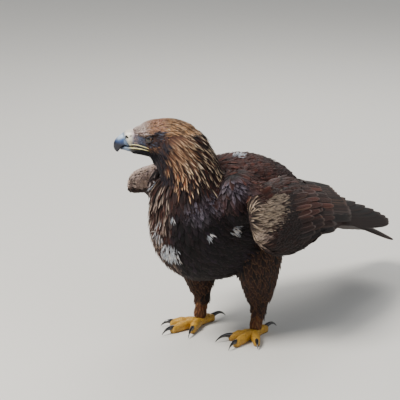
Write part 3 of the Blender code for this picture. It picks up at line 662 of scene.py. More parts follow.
def skinParts():
    # the parts of the flesh, each with the kind of feather that grows on it
    body = [(c, w - d, a - d, b - d) for c, w, a, b, d in bodyTable]
    head = thinner(headStations(headTable), skinLook["headDepth"])
    parts = [
        ("body", loft("body", denser(body, 60), 48, up=(0, 1, 1), squareness=2.15)),
        ("head", loft("head", denser(head, 40), 40, squareness=2.15)),
        ("head", loft("chin", denser(headStations(chinTable), 24), 28)),
    ]
    for word, side in sideOf.items():
        browTurn = headAxes @ turned(-14 * side, "Z") @ turned(6, "Y")
        parts += [
            ("head", ballAt("brow", inHead(0.5, 2.4 * side, 1.0), (2.0, 0.55, 0.34), browTurn)),
            ("head", ballAt("cheek", inHead(-1.9, 2.4 * side, -1.5), (2.3, 0.9, 1.3), headAxes)),
            ("body", ballAt("shoulder", (6.8 * side, -7.5, 28.0), (3.9, 5.9, 4.7), turned(20 * side, "Z"))),
            (word, armShape(word, skinLook["armDepth"])),
            (word, ballAt("knob", (10.0 * side, -6.0, 27.6), (3.0, 4.2, 3.2), turned(-28 * side, "Y"))),
        ]
        for part, count, sides in (("thigh", 24, 28), ("shank", 16, 20)):
            depth = skinLook["legDepth" if part == "thigh" else "shankDepth"]
            stations = denser(thinner(legStations(word, part), depth), count)
            parts.append((part, loft(part, stations, sides, up=(0, -1, 0))))
    return parts


def meltSkin(parts):
    # melts the parts into one skin, keeping a point cloud that says which part each place came from
    cloud = KDTree(sum(len(obj.data.vertices) for _, obj in parts))
    names = []
    for word, obj in parts:
        for vertex in obj.data.vertices:
            cloud.insert(centimetres(vertex.co), len(names))
            names.append(word)
    cloud.balance()
    bpy.ops.object.select_all(action="DESELECT")
    for _, obj in parts:
        obj.select_set(True)
    bpy.context.view_layer.objects.active = parts[0][1]
    bpy.ops.object.join()
    skin = bpy.context.object
    skin.name = "birdSkin"
    skin.data.name = "birdSkin"
    voxel = skinLook["voxel"] * 1
    applied(skin, "REMESH", mode="VOXEL", voxel_size=voxel * 0.01)
    applied(skin, "SMOOTH", factor=0.5, iterations=skinLook["smoothing"])
    return skin, cloud, names


skin, partCloud, partNames = meltSkin(skinParts())
skinPoints = [centimetres(v.co) for v in skin.data.vertices]
skinFaces = [tuple(p.vertices) for p in skin.data.polygons]
skinTree = BVHTree.FromPolygons(skinPoints, skinFaces)
print("stage: skin", len(skinFaces), "faces")


# Where feathers grow, how they lie and what they look like

bodyLine = np.array([station[0] for station in denser(bodyTable, 120)])
bodyHeading = -np.gradient(bodyLine, axis=0)
bodyHeading /= np.linalg.norm(bodyHeading, axis=1)[:, None]


def bodyPlace(point, reach=12, softness=12.0):
    # how far along the body's middle line from the tail (0) to the skull (1), and the lie towards the tail
    gaps = ((bodyLine - np.array(point)) ** 2).sum(axis=1)
    nearest = int(gaps.argmin())
    low, high = max(0, nearest - reach), min(len(bodyLine), nearest + reach + 1)
    weights = np.exp(-(gaps[low:high] - gaps[nearest]) / softness)
    heading = (bodyHeading[low:high] * weights[:, None]).sum(axis=0)
    return nearest / (len(bodyLine) - 1), Vector(heading).normalized()


toneTable = {
    "black": (10, 8, 11),
    "dark": (30, 20, 20),
    "brown": (62, 38, 31),
    "red": (98, 50, 38),
    "rufous": (158, 84, 42),
    "gold": (204, 154, 100),
    "buff": (222, 188, 148),
    "cream": (236, 214, 184),
    "white": (222, 228, 236),
    "grey": (112, 104, 110),
    "violet": (132, 124, 140),
    "lilac": (124, 116, 140),
    "tan": (146, 104, 76),
    "plum": (40, 30, 42),
    "slate": (92, 110, 134),
    "navy": (20, 19, 28),
    "pink": (190, 166, 160),
    "cheekTip": (186, 148, 112),
    "cheek": (104, 74, 56),
    "rose": (188, 122, 112),
    "forehead": (242, 230, 222),
    "jaw": (112, 88, 68),
    "earTip": (170, 132, 98),
    "ear": (112, 80, 58),
    "farBreast": (222, 208, 206),
    "farWrist": (222, 206, 204),
}
tones = {name: colour(*values) for name, values in toneTable.items()}
whiteMarks = withPoints(
    [
        # places where white feather bases show, brightened with painted blue-white highlights, with their
        # reach and strength
        (0.4, -17.9, 20.1, 1.9, 1.0),
        (-1.9, -18.4, 22.7, 1.5, 0.36),
        (-1.4, -18.6, 25.0, 0.9, 0.34),
        (4.1, -16.2, 20.9, 1.0, 0.5),
        (6.0, -15.5, 23.6, 0.75, 1.0),
        (8.2, -11.0, 23.5, 0.95, 0.8),
        (1.4, -18.7, 26.4, 0.45, 0.7),
        (-7.1, -13.6, 29.3, 1.2, 0.85),
        (0.8, -0.8, 32.7, 1.1, 1.0),
    ]
)
# where painted violet-grey highlights lie on the near shoulder's fine tips, with their reach
shoulderHighlights = withPoints([(4.6, -17.0, 28.4, 2.6), (6.6, -14.6, 30.4, 3.0), (8.6, -11.0, 32.0, 2.8)])
profiles = {
    # shares of the length, and shares of the half width there
    "plume": ((0.0, 0.3, 0.6, 0.85, 1.0), (0.35, 0.88, 1.0, 0.66, 0.1)),
    "scale": ((0.0, 0.3, 0.65, 0.88, 1.0), (0.4, 0.9, 1.0, 0.75, 0.3)),
    "lance": ((0.0, 0.25, 0.55, 0.82, 1.0), (0.55, 0.95, 0.82, 0.46, 0.04)),
    "tiny": ((0.0, 0.45, 0.8, 1.0), (0.6, 1.0, 0.7, 0.1)),
    "covert": ((0.0, 0.2, 0.45, 0.7, 0.86, 0.95, 1.0), (0.4, 0.8, 1.0, 1.0, 0.85, 0.6, 0.25)),
    "quill": (
        (0.0, 0.12, 0.28, 0.45, 0.62, 0.78, 0.89, 0.96, 1.0),
        (0.35, 0.7, 0.95, 1.0, 1.0, 0.93, 0.76, 0.5, 0.16),
    ),
}


def between(first, second, share):
    return mix(tones[first], tones[second], share)


# Each of these gives a feather's heading, length, half width, lifts at root and tip, profile,
# colours of root, middle and tip, and fringe


def headFeather(point, draw):
    f, _, u = headPlace(point)
    fall = ease(-0.5, -6.5, f)
    heading = headForward * -(1 - 0.62 * fall) - upward * (0.08 + 0.72 * fall)
    if u < -0.6:
        heading -= upward * 0.2
    sizes = [(-7.5, 2.9), (-5.0, 2.2), (-3.0, 1.5), (-1.0, 0.95), (1.0, 0.62), (2.4, 0.42), (3.4, 0.3)]
    size = along(sizes, f)
    length = size * draw.uniform(0.8, 1.25)
    # the crown is golden-buff, painted paler towards its top where the sun rims the head
    crown = ease(0.2, 1.3, u)
    pale = between("gold", "cream", draw.uniform(0.1, 0.9))
    warm = mix(tones["tan"], between("gold", "rufous", draw.random() * 0.5), draw.random())
    tip = mix(warm, pale, mix(draw.random() * 0.5, draw.uniform(0.35, 1.0), crown))
    middle = mix(between("brown", "tan", draw.random()), tones["gold"], crown * 0.5)
    root = between("dark", "brown", 0.5)
    cheek = near(f, -6.0, -2.1, 0.6) * near(u, -2.6, 0.6, 0.5)
    tip = mix(tip, between("tan", "cheekTip", draw.random()), cheek * 0.7)
    middle = mix(middle, tones["cheek"], cheek * 0.6)
    if draw.random() < mix(0.22, 0.46, ease(-1.0, -4.5, f)) + 0.12 * (1 - crown) - 0.34 * cheek:
        tip, middle = mix(tip, tones["brown"], 0.75), mix(middle, tones["dark"], 0.75)
    # the masks below are read a little off the feather's own place, so that their borders stay loose
    f, u = f + draw.gauss(0, 0.16), u + draw.gauss(0, 0.1)
    # painted highlight over pale feathers: rose above the eye and near-white pink on the forehead, where the
    # sun falls on the top of the head
    rose = near(f, -1.6, 0.4, 0.8) * ease(0.9, 1.5, u)
    tip = mix(tip, between("rose", "pink", draw.random()), rose * 0.7)
    forehead = ease(0.0, 1.5, f) * ease(0.45, 1.0, u)
    tip = mix(tip, between("forehead", "pink", draw.random() ** 2), forehead * 0.92)
    middle = mix(middle, between("pink", "grey", draw.random()), forehead * 0.85)
    lore = ease(0.5, 1.5, f) * (1 - ease(0.35, 0.85, u))
    bluish = mix(between("slate", "lilac", draw.random() * 0.8), tones["navy"], draw.random() ** 2)
    bluish = mix(bluish, tones["pink"], ease(1.9, 3.0, f) * draw.uniform(0.2, 0.9))
    tip, middle = mix(tip, bluish, lore), mix(middle, bluish * 0.7, lore)
    root = mix(root, tones["slate"] * 0.6, lore * 0.8)
    jaw = near(f, -2.2, 0.0, 0.8) * near(u, -1.9, -0.8, 0.4)
    tip = mix(tip, between("jaw", "dark", draw.random()), jaw * 0.9)
    # painted shade under the brow, over dark feathers round and behind the eye
    top = mix(0.5, 1.15, ease(0.9, -0.3, f))
    eyeShadePatch = near(f, -1.8, 1.0, 0.6) * near(u + 0.12 * f, -1.1, top, 0.3)
    shade = mix(tones["navy"], between("plum", "slate", draw.random() ** 4), draw.random())
    tip, middle = mix(tip, shade, eyeShadePatch * 0.92 * (1 - lore)), mix(middle, shade, eyeShadePatch * (1 - lore))
    stripe = near(f, -4.8, -1.4, 0.9) * near(u + 0.1 * f, -0.2, 0.5, 0.3)
    tip, middle = mix(tip, tones["brown"], stripe * 0.3), mix(middle, tones["dark"], stripe * 0.3)
    # the chin and throat are painted navy-black: dark feathers, with painted shade under the bill
    chin = ease(-1.65, -2.0, u + 0.6 * max(0.0, -1.8 - f))
    root, middle, tip = (mix(tone, between("navy", "black", 0.5), chin) for tone in (root, middle, tip))
    plain = max(lore, chin, eyeShadePatch * 0.8, forehead * 0.8)
    fringe = (*mix(tones["dark"], middle, 0.2), 0.75 * (1 - plain))
    lifts = (0.07 * ease(2.0, 2.8, f) * draw.random(), 0.08 + 0.06 * size + 0.25 * chin)
    shape = "lance" if size > 0.6 else "tiny"
    return heading, length * (1 + 0.7 * chin), 0.04 + 0.07 * size, lifts, shape, (root, middle, tip), fringe


def neckFeather(point, normal, heading, draw):
    # dark down the throat, where dark feathers lie in painted shade, rufous at its sides, and dark with cream
    # tips towards the nape
    flat = Vector((normal.x, normal.y, 0.0)).normalized()
    turn = math.degrees(flat.angle(headForward)) + draw.gauss(0, 5)
    front = ease(68.0, 52.0, turn)
    side = ease(102.0, 78.0, turn)
    high = ease(34.5, 38.0, point.z)
    ear = ease(35.4, 37.6, point.z + draw.gauss(0, 0.3)) * ease(124.0, 94.0, turn)
    length = mix(draw.uniform(2.6, 4.6), draw.uniform(1.7, 2.5), front)
    half = mix(draw.uniform(0.17, 0.27), 0.26, front)
    warm = mix(between("rufous", "gold", draw.random()), tones["buff"], draw.random() * 0.5)
    warm = mix(warm, between("tan", "buff", draw.random()), high * 0.7)
    pale = between("buff", "cream", draw.random() ** 0.6)
    tip = mix(pale, warm, side * 0.75)
    dull = between("black", "brown", draw.random())
    middle = mix(dull, between("red", "rufous", draw.random()), 0.8 * side * (1 - 0.3 * high))
    if draw.random() < mix(0.62, 0.4, side) + 0.12 * ease(36.0, 32.0, point.z) * (1 - side) - 0.12 * ear:
        tip = mix(tones["dark"], between("brown", "red", draw.random()), draw.random() ** 1.5)
        tip = mix(tip, between("brown", "tan", draw.random()), ear)
        middle = between("dark", "brown", ear)
    tip = mix(tip, tones["earTip"], ear * 0.35)
    middle = mix(middle, tones["ear"], ear * 0.6)
    root = between("black", "brown", ear)
    # navy-plum throat tone: dark feathers with painted shade
    duskyInShade = between("navy", "plum", draw.random() * 0.6)
    if draw.random() < 0.2:
        duskyInShade = mix(duskyInShade, tones["brown"], 0.6)
    tip, middle = mix(tip, duskyInShade, front), mix(middle, duskyInShade, front)
    fringe = (*between("black", "brown", 0.5 * ear), (0.85 - 0.25 * ear) * (1 - front))
    lifts = (0.02, mix(draw.uniform(0.3, 0.85), 0.28, front))
    away = mix(heading, headForward * -0.85 - upward * 0.5, 0.8 * high)
    return away - upward * 0.2 + flat * 0.05, length, half, lifts, "lance", (root, middle, tip), fringe


def torsoFeather(point, normal, heading, draw):
    length, half = draw.uniform(2.4, 3.4), draw.uniform(0.42, 0.62)
    tip = mix(tones["black"], between("plum", "dark", draw.random()), draw.random() ** 1.5)
    middle = tip * 0.8
    rim, strength = between("brown", "plum", 0.5), draw.uniform(0.0, 0.35)
    lifts = (0.05, draw.uniform(0.3, 0.65))
    shape = "plume"
    # the mantle is rusty, and where the far breast shows beside the neck its feathers are pale with a painted
    # highlight
    mantle = ease(0.1, 0.5, normal.z) * ease(22.0, 26.0, point.z)
    rusty = mantle * (0.35 + 0.65 * near(point.y, -9.0, 1.0, 3.0)) * draw.uniform(0.4, 1.0)
    rusty *= 1 - 0.85 * ease(-3.5, -6.5, point.x) * ease(-4.0, -9.0, point.y)
    reddish = between("brown", "red", draw.random() ** 0.6)
    tip, middle = mix(tip, reddish, rusty * 0.95), mix(middle, mix(reddish, tones["black"], 0.5), rusty)
    pink = ease(-7.0, -8.0, point.x) * ease(-5.0, -9.0, point.y) * near(point.z, 28.0, 33.0, 0.8)
    if draw.random() < 0.65:
        tip = mix(tip, between("pink", "farBreast", draw.random()), pink * 0.85)
    strength = mix(strength, draw.uniform(0.1, 0.6), mantle)
    rim = mix(rim, between("red", "pink", draw.random() * 0.5), mantle * 0.6)
    length, half = mix(length, draw.uniform(3.2, 4.8), mantle), mix(half, draw.uniform(0.36, 0.6), mantle)
    # the breast is streaked, and the pale streaks along its lit edge are partly painted highlight
    front = ease(0.35, 0.75, -normal.y) * near(point.x, -6.0, -0.6, 2.4) * ease(13.0, 18.0, point.z)
    if front > 0.05:
        half = mix(half, draw.uniform(0.17, 0.27), front)
        length = mix(length, draw.uniform(2.2, 3.4), front)
        light = between("pink", "cream", draw.random() * 0.6)
        streaky = mix(tones["dark"], between("red", "brown", draw.random()), draw.random())
        if draw.random() < 0.34 * ease(-0.2, 0.5, front):
            streaky = mix(streaky, light, draw.uniform(0.3, 0.9))
        tip, middle = mix(tip, streaky, front), mix(middle, mix(tones["dark"], streaky, 0.4), front)
        rim, strength = mix(rim, tones["dark"], front), mix(strength, 0.6, front)
        shape = "lance" if front > 0.3 else "plume"
    # painted highlight: fine violet-grey glints on the near shoulder, over small dark feathers
    shoulder = 0.0
    for place, reach in shoulderHighlights:
        shoulder = max(shoulder, 1 - ease(reach * 0.3, reach, (point - place).length))
    if shoulder > 0.05:
        length = mix(length, draw.uniform(1.3, 2.2), shoulder)
        half = mix(half, draw.uniform(0.18, 0.3), shoulder)
        lit = mix(tones["plum"], between("violet", "grey", draw.random()), draw.random() ** 1.6)
        tip, middle = mix(tip, lit, shoulder * 0.85), mix(middle, lit * 0.4, shoulder)
        glint = draw.uniform(0.3, 0.85) if draw.random() < 0.35 else 0.1
        rim, strength = mix(rim, tones["violet"], shoulder), mix(strength, glint, shoulder)
    # white feather bases, with painted blue-white highlights where the light catches the dark coat
    for place, reach, whiteness in whiteMarks:
        white = whiteness * (1 - ease(reach * 0.4, reach * 1.2, (point - place).length))
        if white * draw.uniform(0.4, 1.5) > 0.3:
            bright = between("white", "cream" if draw.random() < 0.3 else "slate", draw.random() * 0.5)
            tip = mix(tip, bright, min(1.0, white * 1.5))
            middle = mix(middle, bright * 0.8, min(1.0, white * 1.2))
            strength *= 1 - white
            length, half, shape = draw.uniform(1.3, 2.3), draw.uniform(0.1, 0.19), "lance"
            lifts = (0.1, draw.uniform(0.6, 0.95))
            heading = heading + Vector((draw.gauss(0, 0.3), draw.gauss(0, 0.3), draw.gauss(0, 0.3)))
    vent = ease(10.0, 15.0, point.y)
    length, half = mix(length, 4.6, vent), mix(half, 0.7, vent)
    return heading, length, half, lifts, shape, (tones["black"], middle, tip), (*rim, strength)


def armFeather(word, point, normal, draw):
    behind = max(0.0, point.y + (12.6 if word == "left" else 13.2))
    back = (wingMiddle(word, behind + 2.0) - wingMiddle(word, behind)).normalized()
    rise, out = wingFrame(word, behind)
    above = (point - wingMiddle(word, behind)).dot(rise)
    inner = ease(0.1, -0.5, normal.dot(out))
    facing = max(0.0, -normal.dot(back))  # how much the place looks forward, where feathers run outwards
    light = mix(tones["pink"], between("buff", "cream", draw.random()), draw.random())
    middle = between("dark", "brown", draw.random() * 0.6)
    if word == "left":
        # pale streaks that run along the wing, over a lower part darkened with painted shade, and inside a
        # scaly leading edge
        loose = draw.gauss(0, 0.5)
        low = above + 0.35 * (4.5 - behind) + loose * 0.4
        top = above - 3.6 - 0.22 * behind + loose * 0.3
        streak = ease(1.5, -2.5, behind + loose - 8.6 - 1.1 * above) * ease(-0.4, 0.9, low)
        streak *= ease(0.8, -0.6, top)
        edge = ease(2.0, 0.7, behind) * ease(0.6, -0.6, above)
        flow = Vector((0.0, 1.0, -along([(-1.0, 0.34), (1.0, 0.2), (3.0, 0.06), (5.0, 0.0)], above)))
        heading = mix(back, flow, max(streak, 0.6 * ease(13.0, 8.0, behind))) + out * (0.06 + 1.6 * facing)
        length = along([(0.0, 2.6), (3.0, 4.6), (8.0, 5.4), (13.0, 4.2), (20.0, 5.4)], behind)
        half = along([(0.0, 0.17), (3.0, 0.17), (9.0, 0.22), (13.0, 0.46), (20.0, 0.72)], behind)
        length, half = mix(length, 1.2, edge), mix(half, 0.22, edge)
        # painted shade on the lower part of the wing, where it turns under
        lowShade = ease(0.5, -0.9, low) * ease(1.2, 2.8, behind)
        length, half = mix(length, min(length, 3.0), lowShade), mix(half, max(half, 0.4), lowShade)
        pale = max(streak, edge)
        shape = "lance" if streak > 0.4 and edge < 0.5 else "plume"
        light = mix(light, tones["cream"], 0.6 * pale)
    else:
        # the far wrist: pale scaled feathers, painted lighter on top as sunlit highlight and left darker
        # beneath
        pale = ease(9.6, 5.4, behind + draw.gauss(0, 1.2)) * ease(-1.0, -0.2, above + draw.gauss(0, 0.3))
        heading = back - rise * 0.12 + out * (0.1 + 0.8 * facing)
        length = along([(0.0, 1.0), (5.0, 1.4), (10.0, 2.6), (20.0, 5.4)], behind)
        half = along([(0.0, 0.26), (5.0, 0.33), (10.0, 0.5), (20.0, 0.72)], behind)
        lowShade, streak, edge, shape = 0.0, 0.0, 1.0, "scale" if behind < 9 else "plume"
        light = mix(light, tones["farWrist"], 0.35 * pale)
    rust = between("brown", "red", draw.random())
    tip = mix(mix(tones["dark"], rust, draw.uniform(0.1, 1.0)), tones["black"], lowShade * 0.8)
    streaky = light if draw.random() < 0.7 else mix(tones["brown"], light, draw.random() * 0.5)
    scaly = mix(tones["grey"], mix(light, tones["pink"], 0.5), draw.uniform(0.75, 1.0))
    tip = mix(tip, streaky if streak > edge else scaly, pale * 0.9)
    spotted = word == "left" or draw.random() < 0.5
    depth = 0.9 if not spotted else 0.3 if word == "left" else 0.45
    middle = mix(middle, mix(tones["dark"], tip, depth), pale)
    edging = mix(between("brown", "pink", draw.uniform(0.1, 0.6)), light, pale * edge)
    edging = mix(edging, tones["black"], streak * (1 - edge))
    strength = mix(mix(draw.uniform(0.1, 0.6), 0.75, pale), 0.9, pale * edge) * (1 - lowShade * 0.7)
    # painted shade: darker, with weaker fringes, where the wing faces the body
    if inner > 0.4 and pale < 0.4:
        tip, strength = mix(tip, tones["dark"], 0.6), strength * 0.5
    length *= draw.uniform(0.85, 1.15)
    lifts = (0.04, mix(0.45, 0.22, edge))
    return heading, length, half, lifts, shape, (tones["black"], middle, tip), (*edging, strength)


def legFeather(kind, normal, draw):
    if kind == "thigh":
        length, half = draw.uniform(2.6, 3.8), draw.uniform(0.42, 0.6)
        lifts = (0.03, draw.uniform(0.35, 0.65))
        tip = between("dark", "brown", draw.random())
        fringe, root, shape = (*between("brown", "gold", 0.2), 0.4), tones["black"], "plume"
    else:
        length, half = draw.uniform(1.2, 1.8), draw.uniform(0.15, 0.21)
        lifts = (0.0, draw.uniform(0.15, 0.32))
        tip = mix(tones["brown"], between("rufous", "gold", draw.random()), draw.uniform(0.2, 0.7))
        fringe, root, shape = (*tones["dark"], 0.5), tones["dark"], "lance"
    heading = Vector((0, 0.12, -1)) + Vector((normal.x, normal.y, 0)) * 0.1
    return heading, length, half, lifts, shape, (root, mix(root, tip, 0.5), tip), fringe


def styleFor(kind, root, normal, draw):
    if kind == "head":
        return headFeather(root, draw)
    if kind in sideOf:
        return armFeather(kind, root, normal, draw)
    if kind in ("thigh", "shank"):
        return legFeather(kind, normal, draw)
    maker = neckFeather if kind == "neck" else torsoFeather
    return maker(root, normal, bodyPlace(root)[1], draw)


coatLook = {
    "tries": 7,  # places tried for each root that finds room
    "closeness": 0.86,  # share of the wanted gap that has to stay free round a root
    "cell": 0.6,
    "jitter": 7.0,  # degrees that a feather may turn from the lie
    "roll": 6.0,
    "thickness": 0.055,
    "droop": 0.22,  # how far a feather's edges fall below its shaft, as a share of its half width
    "seeds": (5, 11),  # of the roots and of the feathers
}
homes = {
    # the coat that grows on each kind of skin
    "head": "headCoat",
    "neck": "neckHackles",
    "body": "bodyCoat",
    "thigh": "legCoat",
    "shank": "legCoat",
    "left": "leftWingCoverts",
    "right": "rightWingCoverts",
}


def spacingAt(kind, point):
    if kind == "head":
        sizes = [(-7.5, 0.33), (-4.0, 0.28), (-1.0, 0.2), (1.5, 0.145), (3.4, 0.115)]
        return along(sizes, headPlace(point)[0])
    if kind in sideOf:
        behind = max(0.0, point.y + 12.9)
        return along([(0.0, 0.27), (4.0, 0.32), (10.0, 0.44), (18.0, 0.75)], behind)
    if kind != "body":
        return {"neck": 0.33, "thigh": 0.5, "shank": 0.22}[kind]
    gap = mix(0.36, 0.6, ease(2.0, 7.0, (point - Vector((-1.5, -18.0, 23.0))).length))
    for place, reach in shoulderHighlights:
        gap = mix(0.34, gap, ease(reach * 0.6, reach * 1.3, (point - place).length))
    for place, reach, _ in whiteMarks:
        gap = mix(0.22, gap, ease(reach * 0.8, reach * 1.4, (point - place).length))
    return mix(gap, 0.95, ease(8.0, 14.0, point.y))


def kindAt(point):
    kind = partNames[partCloud.find(point)[1]]
    if kind == "body" and bodyPlace(point)[0] > 0.72:
        away = (Vector((point.x, point.y)) - Vector((0.1, -12.9))).length
        return "neck" if point.z > 32.2 + 0.55 * max(0.0, away - 5.0) else kind
    if kind == "head":
        f, _, u = headPlace(point)
        return "neck" if f < -4.2 and u < -1.5 else kind
    return kind


def bareHere(kind, point):
    # places left without feathers: under the cere and bill, inside the lids, and where a foot begins
    if kind == "head":
        f, l, u = headPlace(point)
        if f > (3.05 if u > -1.9 else 3.55):
            return True
        return math.hypot((f - birdAxes["eyeAhead"]) / 1.02, u / 0.76) < 1.0 and abs(l) > 1.2
    return kind == "shank" and point.z < 1.7


def crowded(grid, home, reach, spot, gap):
    for key in itertools.product(*(range(value - reach, value + reach + 1) for value in home)):
        for other in grid.get(key, ()):
            if (other[0] - spot[0]) ** 2 + (other[1] - spot[1]) ** 2 + (other[2] - spot[2]) ** 2 < gap * gap:
                return True
    return False


def scatterRoots(seed):
    # roots spread evenly over the skin, closer where the feathers are small
    cell = coatLook["cell"]
    draw = np.random.default_rng(seed)
    points = np.array(skinPoints)
    tris = np.array([(a, b, c) for face in skinFaces for a, b, c in zip(face[:1] * 2, face[1:], face[2:])])
    a, b, c = points[tris[:, 0]], points[tris[:, 1]], points[tris[:, 2]]
    areas = np.linalg.norm(np.cross(b - a, c - a), axis=1) / 2
    middles = [Vector(middle) for middle in (a + b + c) / 3]
    kinds = [kindAt(middle) for middle in middles]
    gaps = np.array([spacingAt(kind, middle) for kind, middle in zip(kinds, middles)])
    wanted = areas / gaps**2
    count = int(wanted.sum() * coatLook["tries"])
    chosen = draw.choice(len(tris), count, p=wanted / wanted.sum())
    r1, r2 = np.sqrt(draw.random(count))[:, None], draw.random(count)[:, None]
    spots = a[chosen] * (1 - r1) + b[chosen] * (r1 * (1 - r2)) + c[chosen] * (r1 * r2)
    grid = {}
    kept = []
    for spot, face in zip(spots.tolist(), chosen.tolist()):
        gap = gaps[face] * coatLook["closeness"]
        home = tuple(int(math.floor(value / cell)) for value in spot)
        if not crowded(grid, home, 1 if gap <= cell else 2, spot, gap):
            grid.setdefault(home, []).append(spot)
            kept.append((kinds[face], Vector(spot)))
    return kept


# Coats: many vanes joined in one mesh, each a thin closed blade


def newCoat(name, columns=2):
    coat = {key: [] for key in ("rings", "uvs", "tint", "fringe", "roots", "counts")}
    return {"name": name, "columns": columns, **coat}


def addVane(coat, centres, normals, profile, half, tints, fringe, thickness=None, droop=None):
    columns = coat["columns"]
    thickness = thickness or coatLook["thickness"]
    droop = coatLook["droop"] if droop is None else droop
    centres = np.asarray(centres)
    shares = np.array(profiles[profile][0])
    halves = half * np.array(profiles[profile][1])
    ahead = np.gradient(centres, axis=0)
    ahead /= np.linalg.norm(ahead, axis=1)[:, None] + 1e-9
    side = np.cross(ahead, np.asarray(normals))
    side /= np.linalg.norm(side, axis=1)[:, None] + 1e-9
    over = np.cross(side, ahead)
    xs = np.linspace(-1, 1, columns + 1)
    ring, us = [], []
    for x, face in [(x, 1) for x in xs] + [(x, -1) for x in xs[-2:0:-1]]:
        belly = face * thickness * 0.5 * (1 - x * x) * (0.4 + 0.6 * halves / halves.max())
        height = -droop * halves * x * x + belly
        if columns > 2 and x == 0 and face > 0:
            height = height + 0.04
        ring.append(centres + side * (halves * x)[:, None] + over * height[:, None])
        us.append((x + 1) / 2)
    uv = np.stack([np.tile(us, (len(shares), 1)), np.tile(shares[:, None], (1, len(us)))], axis=2)
    tint = np.ones((len(shares), 4))
    for k in range(3):
        tint[:, k] = np.interp(shares, (0.15, 0.5, 0.85), [tone[k] for tone in tints])
    coat["rings"].append(np.stack(ring, axis=1).reshape(-1, 3))
    coat["uvs"].append(uv.reshape(-1, 2))
    coat["tint"].append(np.repeat(tint, len(us), axis=0))
    coat["fringe"].append(np.tile(np.array(fringe), (len(shares) * len(us), 1)))
    coat["roots"].append(centres[0])
    coat["counts"].append(len(shares))


def unwrapPlaces(points, line, margin=0.02):
    # a place along a middle line and an angle round it, which together unroll the skin under the coat
    line = np.asarray(line)
    heading = np.gradient(line, axis=0)
    heading /= np.linalg.norm(heading, axis=1)[:, None]
    nearest = np.array([((line - p) ** 2).sum(axis=1).argmin() for p in points])
    away = points - line[nearest]
    reach = nearest + (away * heading[nearest]).sum(axis=1) / 2.0
    aslant = np.array([0.31, 0.22, 0.92])  # not along any of the lines
    side = np.cross(heading[nearest], aslant)
    side /= np.linalg.norm(side, axis=1)[:, None]
    rise = np.cross(side, heading[nearest])
    angle = np.arctan2((away * side).sum(axis=1), (away * rise).sum(axis=1))
    places = np.stack([angle, reach], axis=1)
    low, high = places.min(axis=0), places.max(axis=0)
    return margin + (1 - 2 * margin) * (places - low) / np.maximum(high - low, 1e-6)


def coatFaces(counts, m):
    # quads round each vane of m columns, and flat ends
    quads = []
    start = 0
    cap = np.array([[0, 3, 2, 1]] if m == 4 else [[k, (m - k) % m, m - k - 1, k + 1] for k in range(m // 2)])
    caps = np.stack([cap, cap[:, [0, 3, 2, 1]]], axis=1)
    columns = np.arange(m)[None, :]
    for count in counts:
        rows = start + np.arange(count - 1)[:, None] * m
        first, after = rows + columns, rows + (columns + 1) % m
        quads.append(np.stack([first, after, after + m, first + m], axis=2).reshape(-1, 4))
        ends = np.array([start, start + (count - 1) * m])
        quads.append((caps + ends[None, :, None]).reshape(-1, 4))
        start += count * m
    return [list(dict.fromkeys(quad)) for quad in np.concatenate(quads).tolist()]


def coatMesh(coat, line, material, nodes=(), vaneSpread=0.003):
    # a coat as one mesh, where each vane has its own small place in the second map
    name, m = coat["name"], coat["columns"] * 2
    faces = coatFaces(coat["counts"], m)
    mesh = bpy.data.meshes.new(name)
    mesh.from_pydata(metres(np.concatenate(coat["rings"])).tolist(), [], faces)
    mesh.update()
    corners = np.empty(len(mesh.loops), dtype=np.int64)
    mesh.loops.foreach_get("vertex_index", corners)
    uv = np.concatenate(coat["uvs"])
    roots = unwrapPlaces(np.array(coat["roots"]), line)
    spread = np.repeat(roots, np.array(coat["counts"]) * m, axis=0) + (uv - 0.5) * vaneSpread
    for word, values in (("FeatherUV", uv), ("OFBake", spread)):
        mesh.uv_layers.new(name=word).uv.foreach_set("vector", values[corners].ravel())
    for word in ("tint", "fringe"):
        colourLayer(mesh, word, np.concatenate(coat[word]))
    ends = np.empty(len(mesh.edges) * 2, dtype=np.int64)
    mesh.edges.foreach_get("vertices", ends)
    ends = ends.reshape(-1, 2) % m
    rims = (ends[:, 0] == ends[:, 1]) & ((ends[:, 0] == 0) | (ends[:, 0] == m // 2))
    mesh.attributes.new("sharp_edge", "BOOLEAN", "EDGE").data.foreach_set("value", rims)
    print("coat", name, len(coat["counts"]), "feathers", len(faces), "faces")
    finished(linked(name, mesh), material, nodes)


def lieOnSkin(root, heading, length, shares, lifts, bend=0.55):
    # walks over the skin from a root, so the vane follows the body, and lifts it more towards its tip
    point, normal, _, _ = skinTree.find_nearest(root)
    heading = (heading - normal * heading.dot(normal)).normalized()
    centres, normals = [], []
    before = 0.0
    for share in shares:
        if share > before:
            spot, fresh, _, _ = skinTree.find_nearest(point + heading * length * (share - before))
            normal = (normal * (1 - bend) + fresh * bend).normalized()
            moved = spot - point
            if moved.dot(heading) > 0.5 * moved.length:
                heading = (heading * 0.4 + moved.normalized() * 0.6).normalized()
            point = spot
            before = share
        centres.append(point + normal * mix(*lifts, share))
        normals.append(normal.copy())
    for i in range(1, len(centres) - 1):
        centres[i] = (centres[i - 1] + centres[i] * 2 + centres[i + 1]) / 4
    return centres, normals


